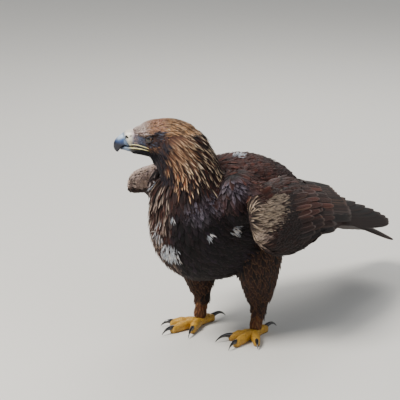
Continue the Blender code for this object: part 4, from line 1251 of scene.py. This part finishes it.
def growCoats():
    coats = {name: newCoat(name) for name in homes.values()}
    rootSeed, featherSeed = coatLook["seeds"]
    draw = random.Random(featherSeed)
    for kind, root in scatterRoots(rootSeed):
        if bareHere(kind, root):
            continue
        normal = skinTree.find_nearest(root)[1]
        heading, length, half, lifts, shape, tints, fringe = styleFor(kind, root, normal, draw)
        turn = turned(draw.gauss(0, coatLook["jitter"]), normal)
        lifts = (lifts[0], lifts[1] * draw.uniform(0.85, 1.15))
        centres, normals = lieOnSkin(root, turn @ heading, length, profiles[shape][0], lifts)
        roll = math.radians(draw.gauss(0, coatLook["roll"]))
        normals = [n + (centres[-1] - centres[0]).normalized().cross(n) * roll for n in normals]
        tone = draw.uniform(0.78, 1.2)
        addVane(coats[homes[kind]], centres, normals, shape, half, [tint * tone for tint in tints], fringe)
    return coats


coats = growCoats()
headLine = [inHead(3.4 - 10.0 * i / 40, 0, -0.2) for i in range(41)]
legLine = [Vector((0, 0, 20.0 - 0.5 * i)) for i in range(40)]
coatMesh(coats["headCoat"], headLine, "hackle")
coatMesh(coats["neckHackles"], bodyLine, "hackle")
coatMesh(coats["bodyCoat"], bodyLine, "plume")
coatMesh(coats["legCoat"], legLine, "plume")
for word in sideOf:
    coatMesh(coats[word + "WingCoverts"], wingLine(word), "plume")
print("stage: body feathers")


# Wings: quills and the larger coverts lie on the same curved sheet as the solids

wingTiers = {
    # count, half width, tilt, lifts, gaps over the skin, first and last root, first and last tip
    "secondary": (13, 1.45, 9.0, (-0.15, 0.02), None, (8.0, -2.9), (20.0, 3.8), (38.0, -4.3), (39.0, 4.2)),
    "greater": (17, 0.92, 10, (0.15, 0.34), (0, 0.12), (11, -5.0), (19, 4.2), (27, -6.4), (31.5, 3.2)),
    "median": (17, 0.8, 11.0, (0.3, 0.55), (0.02, 0.22), (9.0, -5.4), (15.5, 4.2), (20.5, -6.7), (26.5, 2.9)),
    "minor": (18, 0.64, 12.0, (0.4, 0.7), (0.06, 0.34), (8.0, -5.0), (13.0, 4.6), (16.5, -6.4), (22.0, 3.2)),
}
quillLook = {
    "primaries": 9,
    "primaryCoverts": 6,
    "scapulars": 110,
    "rootOver": 1.2,  # how far a root stays above the arm's lower edge
    "rootUnder": 0.8,  # and below its upper edge
    "thickness": 0.08,
    "droop": 0.12,
    "seeds": {"left": 21, "right": 22},
}


def pairAt(first, last, t):
    return [mix(a, b, t) for a, b in zip(first, last)]


def shareOf(i, count):
    return i / (count - 1)


def overSkin(place, normal, lift, gap, height=5.0, reach=7.0):
    # the lift that keeps a vane clear of the arm beneath it
    spot, _, _, distance = skinTree.ray_cast(place + normal * height, -normal, reach)
    return lift if spot is None else max(lift, height - distance + gap)


def wingVane(coat, word, root, tip, lifts, half, tilt, profile, tints, fringe, bow=0.0, gap=None):
    tilt = math.radians(tilt)
    low = quillLook["rootOver"] - along(armBelow[word], root[0])
    high = along(armAbove[word], root[0]) - quillLook["rootUnder"]
    root = (root[0], min(max(root[1], low), high))
    centres, normals = [], []
    for t in profiles[profile][0]:
        behind, above = pairAt(root, tip, t)
        sheet, normal = wingPlace(word, behind, above + bow * math.sin(math.pi * t), 0.0)
        lift = mix(*lifts, t**0.6)
        if gap:
            lift = overSkin(sheet, normal, lift, mix(*gap, t))
        rise, _ = wingFrame(word, min(behind, wingLook["length"]))
        centres.append(sheet + normal * lift)
        normals.append(normal * math.cos(tilt) + rise * math.sin(tilt))
    look = (quillLook["thickness"], quillLook["droop"])
    addVane(coat, centres, normals, profile, half, tints, fringe, *look)


def growPrimaries(coat, word, draw):
    count = quillLook["primaries"]
    for i in range(count):
        t = shareOf(i, count)
        reach = 44.0 + 16.0 * math.sin(math.pi / 2 * min(1.0, t * 1.25)) - 4.0 * max(0.0, t - 0.8)
        root = pairAt((9.0, -2.6), (19.0, -4.4), t)
        tints = (tones["brown"], tones["dark"], between("black", "dark", draw.random()))
        fringe = (*tones["brown"], 0.35)
        tip = (reach, mix(2.1, -2.1, t))
        wingVane(coat, word, root, tip, (-0.7, -0.65), 1.4, 14, "quill", tints, fringe, bow=-0.9)
    count = quillLook["primaryCoverts"]
    for i in range(count):
        root = pairAt((11.0, -4.8), (17.0, -5.4), shareOf(i, count))
        tip = pairAt((27.0, -3.4), (33.0, -4.8), shareOf(i, count))
        tints, fringe = (tones["dark"], tones["dark"], between("dark", "brown", 0.5)), (*tones["brown"], 0.4)
        wingVane(coat, word, root, tip, (-0.2, -0.1), 0.85, 14, "covert", tints, fringe, bow=-1.0)


def growTier(coat, word, name, draw):
    count, half, tilt, lifts, gap, rootA, rootB, tipA, tipB = wingTiers[name]
    loose = 0.0 if name == "secondary" else 1.0
    for i in range(count):
        t = shareOf(i, count)
        root, tip = pairAt(rootA, rootB, t), pairAt(tipA, tipB, t)
        tip[0] += 1.5 * math.sin(math.pi * t) + draw.uniform(-0.5, 0.5) * (1 + 1.2 * loose)
        tip[1] += draw.uniform(-0.4, 0.4) * loose
        tone = draw.uniform(0.6, 1.35)
        base = mix(tones["dark"], between("brown", "red", draw.random()), draw.random() ** 0.8)
        if name == "secondary":
            base = between("black", "brown", draw.uniform(0.1, 0.6))
        edge = mix(tones["brown"], between("pink", "tan", draw.random()), draw.uniform(0.1, 0.7))
        # painted shade: the lowest feathers of each tier are darker, with weaker fringes
        lowShade = ease(0.45, 0.0, t)
        end = mix(base, tones["black"], lowShade * 0.75) * tone
        strength = draw.uniform(0.15, 0.6) if loose else 0.4
        tints, fringe = (tones["black"], end * 0.6, end), (*edge, strength * (1 - lowShade * 0.7))
        high = lifts[1] + draw.uniform(-0.06, 0.14) * loose
        lean = tilt + draw.uniform(-5, 5) * loose
        wide = half * draw.uniform(0.88, 1.1)
        kind = "covert" if loose else "quill"
        wingVane(coat, word, root, tip, (lifts[0], high), wide, lean, kind, tints, fringe, gap=gap)


def growScapulars(coat, word, draw):
    # a loose cover over the upper wing
    count = quillLook["scapulars"]
    for i in range(count):
        t = shareOf(i, count)
        start = mix(15.0, 4.5 if word == "left" else 10.5, t) + draw.uniform(-1.2, 1.2)
        root = (start, draw.uniform(mix(4.2, 1.6, ease(8.0, 14.0, start)), 6.2))
        long = draw.uniform(5.0, 8.5) * mix(1.15, 0.7, t)
        tip = (root[0] + long, root[1] - draw.uniform(0.4, 1.8))
        base = mix(tones["dark"], between("brown", "red", draw.random()), draw.random())
        base = base * draw.uniform(0.7, 1.3)
        edge = mix(tones["brown"], between("pink", "tan", draw.random()), draw.uniform(0.0, 0.6))
        tints, fringe = (tones["black"], base * 0.5, base), (*edge, draw.uniform(0.0, 0.5))
        rise = draw.uniform(0.0, 0.35) + 0.25 * t
        lifts, gap = (0.3, 0.5 + rise), (0.05, 0.2 + rise)
        lean = 10 + draw.uniform(-9, 9)
        half = draw.uniform(0.42, 0.68)
        wingVane(coat, word, root, tip, lifts, half, lean, "plume", tints, fringe, gap=gap)


def growWing(word):
    draw = random.Random(quillLook["seeds"][word])
    coat = newCoat(word + "FlightFeathers", columns=4)
    growPrimaries(coat, word, draw)
    for name in wingTiers:
        growTier(coat, word, name, draw)
    growScapulars(coat, word, draw)
    coatMesh(coat, wingLine(word), "flight", [word + "_wing"])


for word in sideOf:
    growWing(word)
print("stage: wings")


# Tail

tailLook = {
    "root": Vector((0.0, 17.8, 20.3)),
    "fall": 23.5,
    "spread": 9.0,
    "length": 29.4,
    "pairs": 6,
    "step": 0.12,
    "coverts": [
        # count, start behind the root, length, lifts at start and end, half width
        (8, 0.8, 13.0, (0.6, 1.25), 1.0),
        (9, -1.4, 10.0, (0.85, 1.6), 0.9),
        (9, -3.4, 8.0, (1.1, 2.0), 0.85),
        (8, 1.0, 12.0, (-0.7, -1.3), 1.0),
        (8, -1.0, 9.0, (-1.1, -1.8), 1.0),
    ],
}
tailFall = math.radians(tailLook["fall"])
tailBack = Vector((0, math.cos(tailFall), -math.sin(tailFall)))
tailOver = Vector((0, math.sin(tailFall), math.cos(tailFall)))


def growTailQuills(coat, draw):
    pairs, step = tailLook["pairs"], tailLook["step"]
    for i in range(pairs):
        for side in (1, -1):
            share = (i + 0.5) / pairs
            turn = math.radians(tailLook["spread"]) * share * side
            ahead = tailBack * math.cos(turn) + Vector((math.sin(turn), 0, 0))
            start = tailLook["root"] + tailBack * 1.2 + Vector((1.6 * share * side, 0, 0))
            lift = 0.75 - step * i - (step * 0.54 if side < 0 else 0.0)
            long = tailLook["length"] - 1.2 - 1.6 * share**2
            normal = (tailOver + Vector((0.5 * share * side, 0, 0))).normalized()
            centres = []
            for t in profiles["quill"][0]:
                rise = lift - 0.9 * t * t - 0.3 * (share * t) ** 2
                centres.append(start + ahead * long * t + tailOver * rise)
            base = between("dark", "brown", draw.uniform(0.1, 0.6))
            tints = (tones["brown"], mix(tones["grey"] * 0.5, base, 0.5), base)
            normals = [normal] * len(centres)
            addVane(coat, centres, normals, "quill", 2.0, tints, (*tones["brown"], 0.3), 0.08, 0.06)


def growTailCoverts(coat, draw):
    fringe = (*between("brown", "pink", 0.3), 0.2)
    for count, out, long, lifts, half in tailLook["coverts"]:
        sign = 1 if lifts[1] > 0 else -1
        for i in range(count):
            share = (i + 0.5) / count * 2 - 1
            start = tailLook["root"] + tailBack * out + Vector((1.9 * share, 0, 0))
            normal = (tailOver * sign + Vector((0.25 * share, 0, 0))).normalized()
            long *= draw.uniform(0.94, 1.06)
            centres = []
            for t in profiles["covert"][0]:
                lift = mix(*lifts, min(1, t * 2.5)) - sign * 0.5 * share * share
                aside = Vector((1.6 * share * t, 0, 0))
                centres.append(start + tailBack * long * t + aside + tailOver * lift)
            base = mix(tones["dark"], between("brown", "red", draw.random() * 0.5), draw.random())
            tints = (tones["black"], base * 0.7, base)
            addVane(coat, centres, [normal] * len(centres), "covert", half, tints, fringe, 0.07, 0.15)


tailDraw = random.Random(31)
tailCoat = newCoat("tailFeathers", columns=4)
growTailQuills(tailCoat, tailDraw)
growTailCoverts(tailCoat, tailDraw)
coatMesh(tailCoat, [tailLook["root"] + tailBack * i for i in range(31)], "flight", ["tail"])
print("stage: tail")


# Head: bill, cere, gape, eyes and lids

billLook = {
    # forward, up, half width, height above, height below
    "cere": [
        (2.3, 0.0, 1.35, 1.1, 1.6),
        (3.2, -0.05, 1.36, 1.2, 1.75),
        (3.87, -0.24, 1.25, 1.22, 1.7),
        (4.374, -0.525, 1.12, 1.15, 1.6),
    ],
    "upper": [
        (4.4, -0.54, 1.12, 1.15, 1.6),
        (4.93, -0.84, 1.0, 1.06, 1.1),
        (5.35, -1.35, 0.8, 1.12, 0.76),
        (5.66, -1.9, 0.58, 0.98, 0.6),
        (5.84, -2.4, 0.36, 0.68, 0.4),
        (5.88, -2.92, 0.1, 0.16, 0.12),
    ],
    "lower": [
        (-0.3, -2.3, 1.95, 0.30, 0.45),
        (1.2, -2.22, 1.7, 0.35, 0.62),
        (2.6, -2.2, 1.3, 0.35, 0.72),
        (3.8, -2.2, 0.98, 0.36, 0.6),
        (4.5, -2.17, 0.7, 0.42, 0.46),
        (5.0, -2.28, 0.42, 0.3, 0.26),
        (5.3, -2.42, 0.16, 0.12, 0.1),
    ],
    "nostril": (4.1, 0.02),
    "nostrilRadii": (0.34, 0.46, 0.17),
}
lipLook = {
    # thickness, then back, half spread and up from the front to the corner of the mouth
    "UpperLip": (
        0.045,
        [(-3.7, 1.33, -1.3), (-2.4, 1.74, -1.24), (-1.0, 2.12, -1.56), (0.0, 2.42, -1.84), (0.5, 2.6, -2.0)],
    ),
    "LowerLip": (
        0.07,
        [(-4, 0.98, -2.02), (-3.2, 1.24, -1.96), (-2, 1.66, -1.95), (-1, 1.95, -2.1), (-0.3, 2.2, -2.24)],
    ),
}


def headShape(name, table, count, sides, squareness):
    stations = denser(headStations(table), count)
    return loft(name, stations, sides, up=headForward + upward, squareness=squareness)


def makeLip(name, side, radius, edge, count=18):
    lips, radii = [], []
    for k in range(count):
        t = shareOf(k, count)
        back = mix(edge[0][0], edge[-1][0], t)
        lips.append(inHead(-back, along(edge, back) * side, along(edge, back, 2)))
        swell = math.sin(math.pi * min(0.5, t * 1.6))
        radii.append(0.03 + radius * swell * (1 - 0.8 * max(0.0, t - 0.6) / 0.4))
    finished(tubeAlong(name, lips, radii, 12), "cere", toneAt=lipTone)


def makeBill():
    upper = headShape("upperBill", billLook["upper"], 26, 32, 2.3)
    finished(upper, "horn", ["upper_bill"], billTone)
    cere = headShape("softCere", billLook["cere"], 14, 32, 2.3)
    turn = headAxes @ turned(-35, "Y")
    cutters = []
    for side in (1, -1):
        place = inHead(billLook["nostril"][0], 1.2 * side, billLook["nostril"][1])
        cutters.append(ballAt("nostrilHole", place, billLook["nostrilRadii"], turn, 24))
    joined(cere, cutters, "DIFFERENCE")
    finished(cere, "cere", ["cere"], cereTone, crease=50)
    lower = headShape("lowerBill", billLook["lower"], 24, 28, 2.4)
    finished(lower, "cere", ["lower_bill"], gapeTone)
    for word, side in sideOf.items():
        for name, (radius, edge) in lipLook.items():
            makeLip(word + name, side, radius, edge)


def billTone(point):
    f, _, u = headPlace(point)
    # painted highlight: the top ridge is pale blue-white where it catches the light; towards the underside
    # and hook it darkens, the dark tip with painted shade under it
    culmenHighlight = ease(1.55, 2.3, math.hypot(f - 4.0, u + 1.9)) * ease(-1.1, 0.2, u)
    base = mix(colour(44, 78, 134), colour(190, 208, 224), culmenHighlight)
    base = mix(base, colour(150, 170, 186), near(f, 4.0, 4.5, 0.4) * 0.5)
    return mix(base, colour(8, 14, 36), ease(-0.4, -1.8, u + 0.35 * (5.2 - f)))


def cereTone(point):
    f, l, u = headPlace(point)
    # pale yellow cere, painted near-white on top as a highlight where the sun glares on it
    pale = mix(colour(238, 230, 212), colour(206, 196, 166), ease(0.0, -1.0, u))
    behind = ease(3.7, 2.9, f + 0.1 * math.sin(u * 17))
    pale = mix(pale, mix(colour(206, 188, 184), colour(126, 122, 138), ease(0.5, 0.0, u)), behind)
    spot = math.hypot((f - 3.45) / 0.3, (u - 0.25) / 0.2)
    pale = mix(colour(70, 60, 64), pale, ease(0.3, 1.1, spot))
    tone = mix(pale, colour(128, 148, 170), ease(3.9, 4.5, f - 0.4 * (u + 0.4)))
    hole = math.hypot((f - billLook["nostril"][0]) / 0.4, (u - billLook["nostril"][1]) / 0.3)
    return tone if hole > 1 or abs(l) > 1.17 else colour(14, 12, 14)


def lipTone(point):
    f = headPlace(point)[0]
    yellow = mix(colour(222, 212, 152), colour(176, 160, 92), ease(1.2, -0.4, f))
    return mix(yellow, colour(196, 200, 196), ease(3.0, 4.0, f))


def gapeTone(point):
    f, _, u = headPlace(point)
    # the lower bill's underside is painted near-black as shade
    yellow = mix(colour(176, 164, 108), colour(34, 30, 30), ease(-2.0, -2.25, u))
    horn = mix(yellow, colour(96, 112, 132), ease(3.3, 4.0, f))
    return mix(horn, colour(30, 34, 46), ease(4.3, 5.1, f) * 0.8)


makeBill()

eyeLook = {
    "iris": (104, 68, 36),
    "irisEdge": (30, 18, 12),
    "pupil": (4, 4, 6),
    "irisReach": 0.30,  # share of the half turn from the front of the eye to the iris's edge
    "pupilReach": 0.145,
    "opening": (0.74, 0.52),  # half width and half height between the lids
    "lidRadius": 0.86,
    "brow": [(-1.2, 3.1), (0.2, 2.95), (1.5, 2.35), (2.8, 1.62)],  # forward and half spread
}


def makeEyeMaterial():
    wet = {"Coat Weight": 1.0, "IOR": 1.4, "Coat Roughness": 0.02}
    made, tree, shader = newMaterial("eyeball", 0.06, **wet)
    uv = addNode(tree, "ShaderNodeUVMap", {}, uv_map="UVMap")[0]
    high = addNode(tree, "ShaderNodeSeparateXYZ", {0: uv})[1]
    away = mathNode(tree, "SUBTRACT", 1.0, high)
    stretch = addNode(tree, "ShaderNodeVectorMath", {0: uv, 1: (26.0, 3.0, 1.0)}, operation="MULTIPLY")[0]
    spokes = noiseNode(tree, stretch, 3.0)
    iris, edge, dark = ((*colour(*eyeLook[word]), 1.0) for word in ("iris", "irisEdge", "pupil"))
    reach, pupil = eyeLook["irisReach"], eyeLook["pupilReach"]
    rayed = mixColour(tree, stepRange(tree, spokes, 0.3, 0.7), edge, iris)
    ringed = mixColour(tree, stepRange(tree, away, reach - 0.06, reach), rayed, edge)
    holed = mixColour(tree, stepRange(tree, away, pupil, pupil + 0.012), dark, ringed)
    tree.links.new(holed, shader["Base Color"])
    return made


def browTone(point):
    return mix(colour(60, 50, 56), colour(204, 188, 186), near(headPlace(point)[0], 0.7, 2.2, 0.7))


def makeLid(word, side, centre, count=28):
    ring, radii = [], []
    look = headLeft * side
    for k in range(count):
        angle = 2 * math.pi * k / count
        x, y = eyeLook["opening"][0] * math.cos(angle), eyeLook["opening"][1] * math.sin(angle)
        if y > 0:
            y *= 0.92
        z = math.sqrt(eyeLook["lidRadius"] ** 2 - x * x - y * y)
        ring.append(centre + headForward * x + upward * (y - 0.14 * x) + look * z)
        radii.append(0.08 + 0.05 * max(0.0, math.sin(angle)))
    finished(tubeAlong(word + "Lid", ring, radii, 10, closed=True, up=look), "lid")


def makeBrow(word, side, count=12):
    ridge, radii = [], []
    for k in range(count):
        f = mix(2.75, -1.2, shareOf(k, count))
        ridge.append(inHead(f, along(eyeLook["brow"], f) * side, 0.66 + 0.3 * ease(2.75, 0.2, f)))
        radii.append(0.02 + 0.06 * math.sin(math.pi * (k + 0.5) / count))
    finished(tubeAlong(word + "Brow", ridge, radii, 10, flat=1.3), "cere", toneAt=browTone)


materials["eye"] = makeEyeMaterial()
for word, side in sideOf.items():
    axis = (headLeft * side + headForward * 0.25).normalized()
    centre = inHead(birdAxes["eyeAhead"], birdAxes["eyeSpread"] * side, 0)
    radii = (birdAxes["eyeRadius"],) * 3
    eye = ballAt(word + "Eye", centre, radii, axis.to_track_quat("Z", "Y").to_matrix(), 48)
    finished(eye, "eye", ["eye_" + word])
    makeLid(word, side, centre)
    makeBrow(word, side)
print("stage: bill and eyes")


# Feet: padded toes with a row of plates on top, and a curved talon on each

toeTable = {
    # heading in degrees from the foot's front, length, talon length
    "inner": (-34.0, 4.6, 3.9),
    "middle": (0.0, 6.4, 3.3),
    "outer": (36.0, 4.9, 2.7),
    "hind": (176.0, 3.6, 4.4),
}
toePads = [
    # share of a toe's length, half width and height there
    (0.0, 0.85, 0.8),
    (0.3, 0.82, 0.82),
    (0.45, 0.74, 0.7),
    (0.62, 0.84, 0.8),
    (0.78, 0.7, 0.68),
    (1.0, 0.62, 0.62),
]
footLook = {
    "toeHeight": 0.85,
    "turnOut": 8.0,
    "scute": 0.4,  # length of one plate on top of a toe
    "scuteRise": 0.13,
    "toeEnd": 0.5,  # how far the rounded end of a toe reaches over its talon
    "clawBend": 78.0,
    "clawLean": 22.0,
    "clawInToe": 0.25,
    "clawClear": 0.12,
}


def toeTone(point):
    # painted shade: the toes darken towards the floor
    return mix(colour(214, 168, 58), colour(150, 112, 44), ease(0.5, 0.05, point.z))


def makeToe(foot, ahead, length, spacing=0.09):
    count = int(length / spacing)
    period = footLook["scute"] / ((length - 0.5) / (count - 1))
    stations = []
    for i in range(count):
        t = shareOf(i, count)
        lift = footLook["toeHeight"] - 0.1 * t + 0.18 * math.sin(math.pi * t)
        centre = foot + ahead * mix(0.5, length, t) + upward * lift
        stations.append((centre, along(toePads, t), along(toePads, t, 2), 1.2))
    centre, *sizes = stations[-1]
    for k in range(1, 6):
        angle = math.pi / 2 * k / 5
        share = max(0.35, math.cos(angle))
        end = centre + ahead * footLook["toeEnd"] * math.sin(angle)
        stations.append((end, *[size * share for size in sizes]))

    def plates(i, s):
        if s < 0.1:
            return 0.0
        saw = (i / period) % 1.0
        return footLook["scuteRise"] * min(1.0, (s - 0.1) * 1.6) * (math.sin(math.pi * saw) ** 0.5 - 0.7)

    return loft("toe", stations, 20, floor=0.0, ridges=plates)


def makeTalon(name, node, root, ahead, length, count=18):
    bend, lean = math.radians(footLook["clawBend"]), math.radians(footLook["clawLean"])
    radius = length / bend
    start = root - ahead * footLook["clawInToe"] + upward * footLook["toeHeight"]
    stations = []
    for i in range(count):
        t = shareOf(i, count)
        angle = bend * t - lean
        centre = start + ahead * radius * (math.sin(angle) + math.sin(lean))
        centre += upward * radius * (math.cos(angle) - math.cos(lean))
        size = mix(0.6, 0.05, t**0.85)
        stations.append((centre, size * 0.8, size, size))
    drop = min(c.z - b for c, _, _, b in stations) - footLook["clawClear"]
    if drop < 0:
        stations = [(c - upward * drop * i / (count - 1), *sizes) for i, (c, *sizes) in enumerate(stations)]
    finished(loft(name, stations, 16), "talon", [node])


def makeFoot(word):
    foot = footAt(word)
    whole = ballAt(word + "Foot", foot + Vector((0, 0.1, 0.9)), (1.22, 1.45, 0.9), None, 28)
    toes = []
    for toe, (heading, length, claw) in toeTable.items():
        turn = math.radians((heading + footLook["turnOut"]) * sideOf[word])
        ahead = Vector((math.sin(turn), -math.cos(turn), 0))
        toes.append(makeToe(foot, ahead, length))
        name = f"{word}{toe.capitalize()}Talon"
        makeTalon(name, f"{word}_{toe}_claw", foot + ahead * length, ahead, claw)
    joined(whole, toes, "UNION")
    finished(whole, "toe", [word + "_foot"], toeTone, crease=40)


for word in sideOf:
    makeFoot(word)
print("stage: feet")


def skinTone(point):
    kind = kindAt(point)
    if kind == "head":
        f, _, u = headPlace(point)
        lore = ease(0.5, 1.3, f) * (1 - ease(0.5, 0.95, u))
        return mix(between("dark", "brown", 0.7), tones["slate"] * 0.6, lore)
    if kind == "shank":
        return tones["brown"]
    if kind in sideOf and point.y < -4:
        # pinker under the top of the far wrist, matching its painted highlight
        return mix(tones["brown"], tones["pink"] * 0.4, 0.5 if kind == "right" and point.z > 27.5 else 0.1)
    return tones["black"]


fleshNodes = ["head", "neck", "torso", "left_thigh", "right_thigh", "left_shank", "right_shank"]
finished(skin, "skin", fleshNodes, skinTone)


# Floor, light and camera

studioLook = {
    "floor": (226, 224, 218),
    "floorRings": [(150, 0), (600, 0), (750, 8), (860, 45), (930, 130), (950, 330)],  # reach and rise
    "floorDrop": 0.02,  # how far the floor lies below the toes
    "aim": Vector((0, -6, 24)),
    "world": 0.42,
    "sky": (0.92, 0.95, 1.0, 1.0),
}
lightTable = {
    # to the right, towards the camera, up, size in metres, power, colour
    "keyLight": (-150, 110, 190, 1.1, 125.0, (1.0, 0.96, 0.9)),
    "fillLight": (170, 170, 60, 2.2, 12.0, (0.86, 0.92, 1.0)),
    "rimLight": (40, -190, 200, 1.4, 26.0, (1.0, 0.98, 0.95)),
}
cameraLook = {
    "target": Vector((0.2, -10.0, 26.9)),
    "azimuth": 40.0,
    "elevation": 16.0,
    "distance": 400.0,
    "lens": 201.6,
}


def makeStage(sides=48):
    # a wide round floor with a low rim far outside every view
    rings = studioLook["floorRings"]
    points = []
    for reach, rise in rings:
        for i in range(sides):
            a = 2 * math.pi * i / sides
            points.append(Vector((reach * math.cos(a), reach * math.sin(a), rise - studioLook["floorDrop"])))
    quads = [(a, d, c, b) for a, b, c, d in bandFaces(len(rings), sides)]
    floor = objectFrom("paleFloor", points, [tuple(range(sides)), *quads])
    applied(floor, "SUBSURF", levels=2, render_levels=2)
    floor.data.shade_smooth()
    made, _, shader = newMaterial("palePaper", 0.9)
    shader["Base Color"].default_value = (*colour(*studioLook["floor"]), 1.0)
    floor.data.materials.append(made)


def makeLights(right, back):
    for name, (aside, closer, high, size, power, tone) in lightTable.items():
        data = bpy.data.lights.new(name, "AREA")
        data.shape = "DISK"
        data.size = size
        data.energy = power
        data.color = tone
        lamp = linked(name, data)
        place = studioLook["aim"] + right * aside + back * closer + upward * high
        lamp.location = metres(place)
        aim = Vector(metres(studioLook["aim"])) - lamp.location
        lamp.rotation_euler = aim.to_track_quat("-Z", "Y").to_euler()
        lamp.visible_camera = False
    world = bpy.data.worlds.new("studio")
    world.use_nodes = True
    background = world.node_tree.nodes["Background"]
    background.inputs[0].default_value = studioLook["sky"]
    background.inputs[1].default_value = studioLook["world"]
    bpy.context.scene.world = world


def makeCamera(back):
    data = bpy.data.cameras.new("photoCamera")
    data.sensor_width = 36.0
    data.lens = cameraLook["lens"]
    camera = linked("photoCamera", data)
    camera.location = metres(cameraLook["target"] + back * cameraLook["distance"])
    camera.rotation_euler = (-back).to_track_quat("-Z", "Y").to_euler()
    bpy.context.scene.camera = camera


azimuth, elevation = math.radians(cameraLook["azimuth"]), math.radians(cameraLook["elevation"])
toRight = Vector((math.cos(azimuth), math.sin(azimuth), 0))
level = math.cos(elevation)
toCamera = Vector((math.sin(azimuth) * level, -math.cos(azimuth) * level, math.sin(elevation)))
makeStage()
makeCamera(toCamera)
makeLights(toRight, toCamera)
bpy.context.view_layer.update()

print("stage: finished")
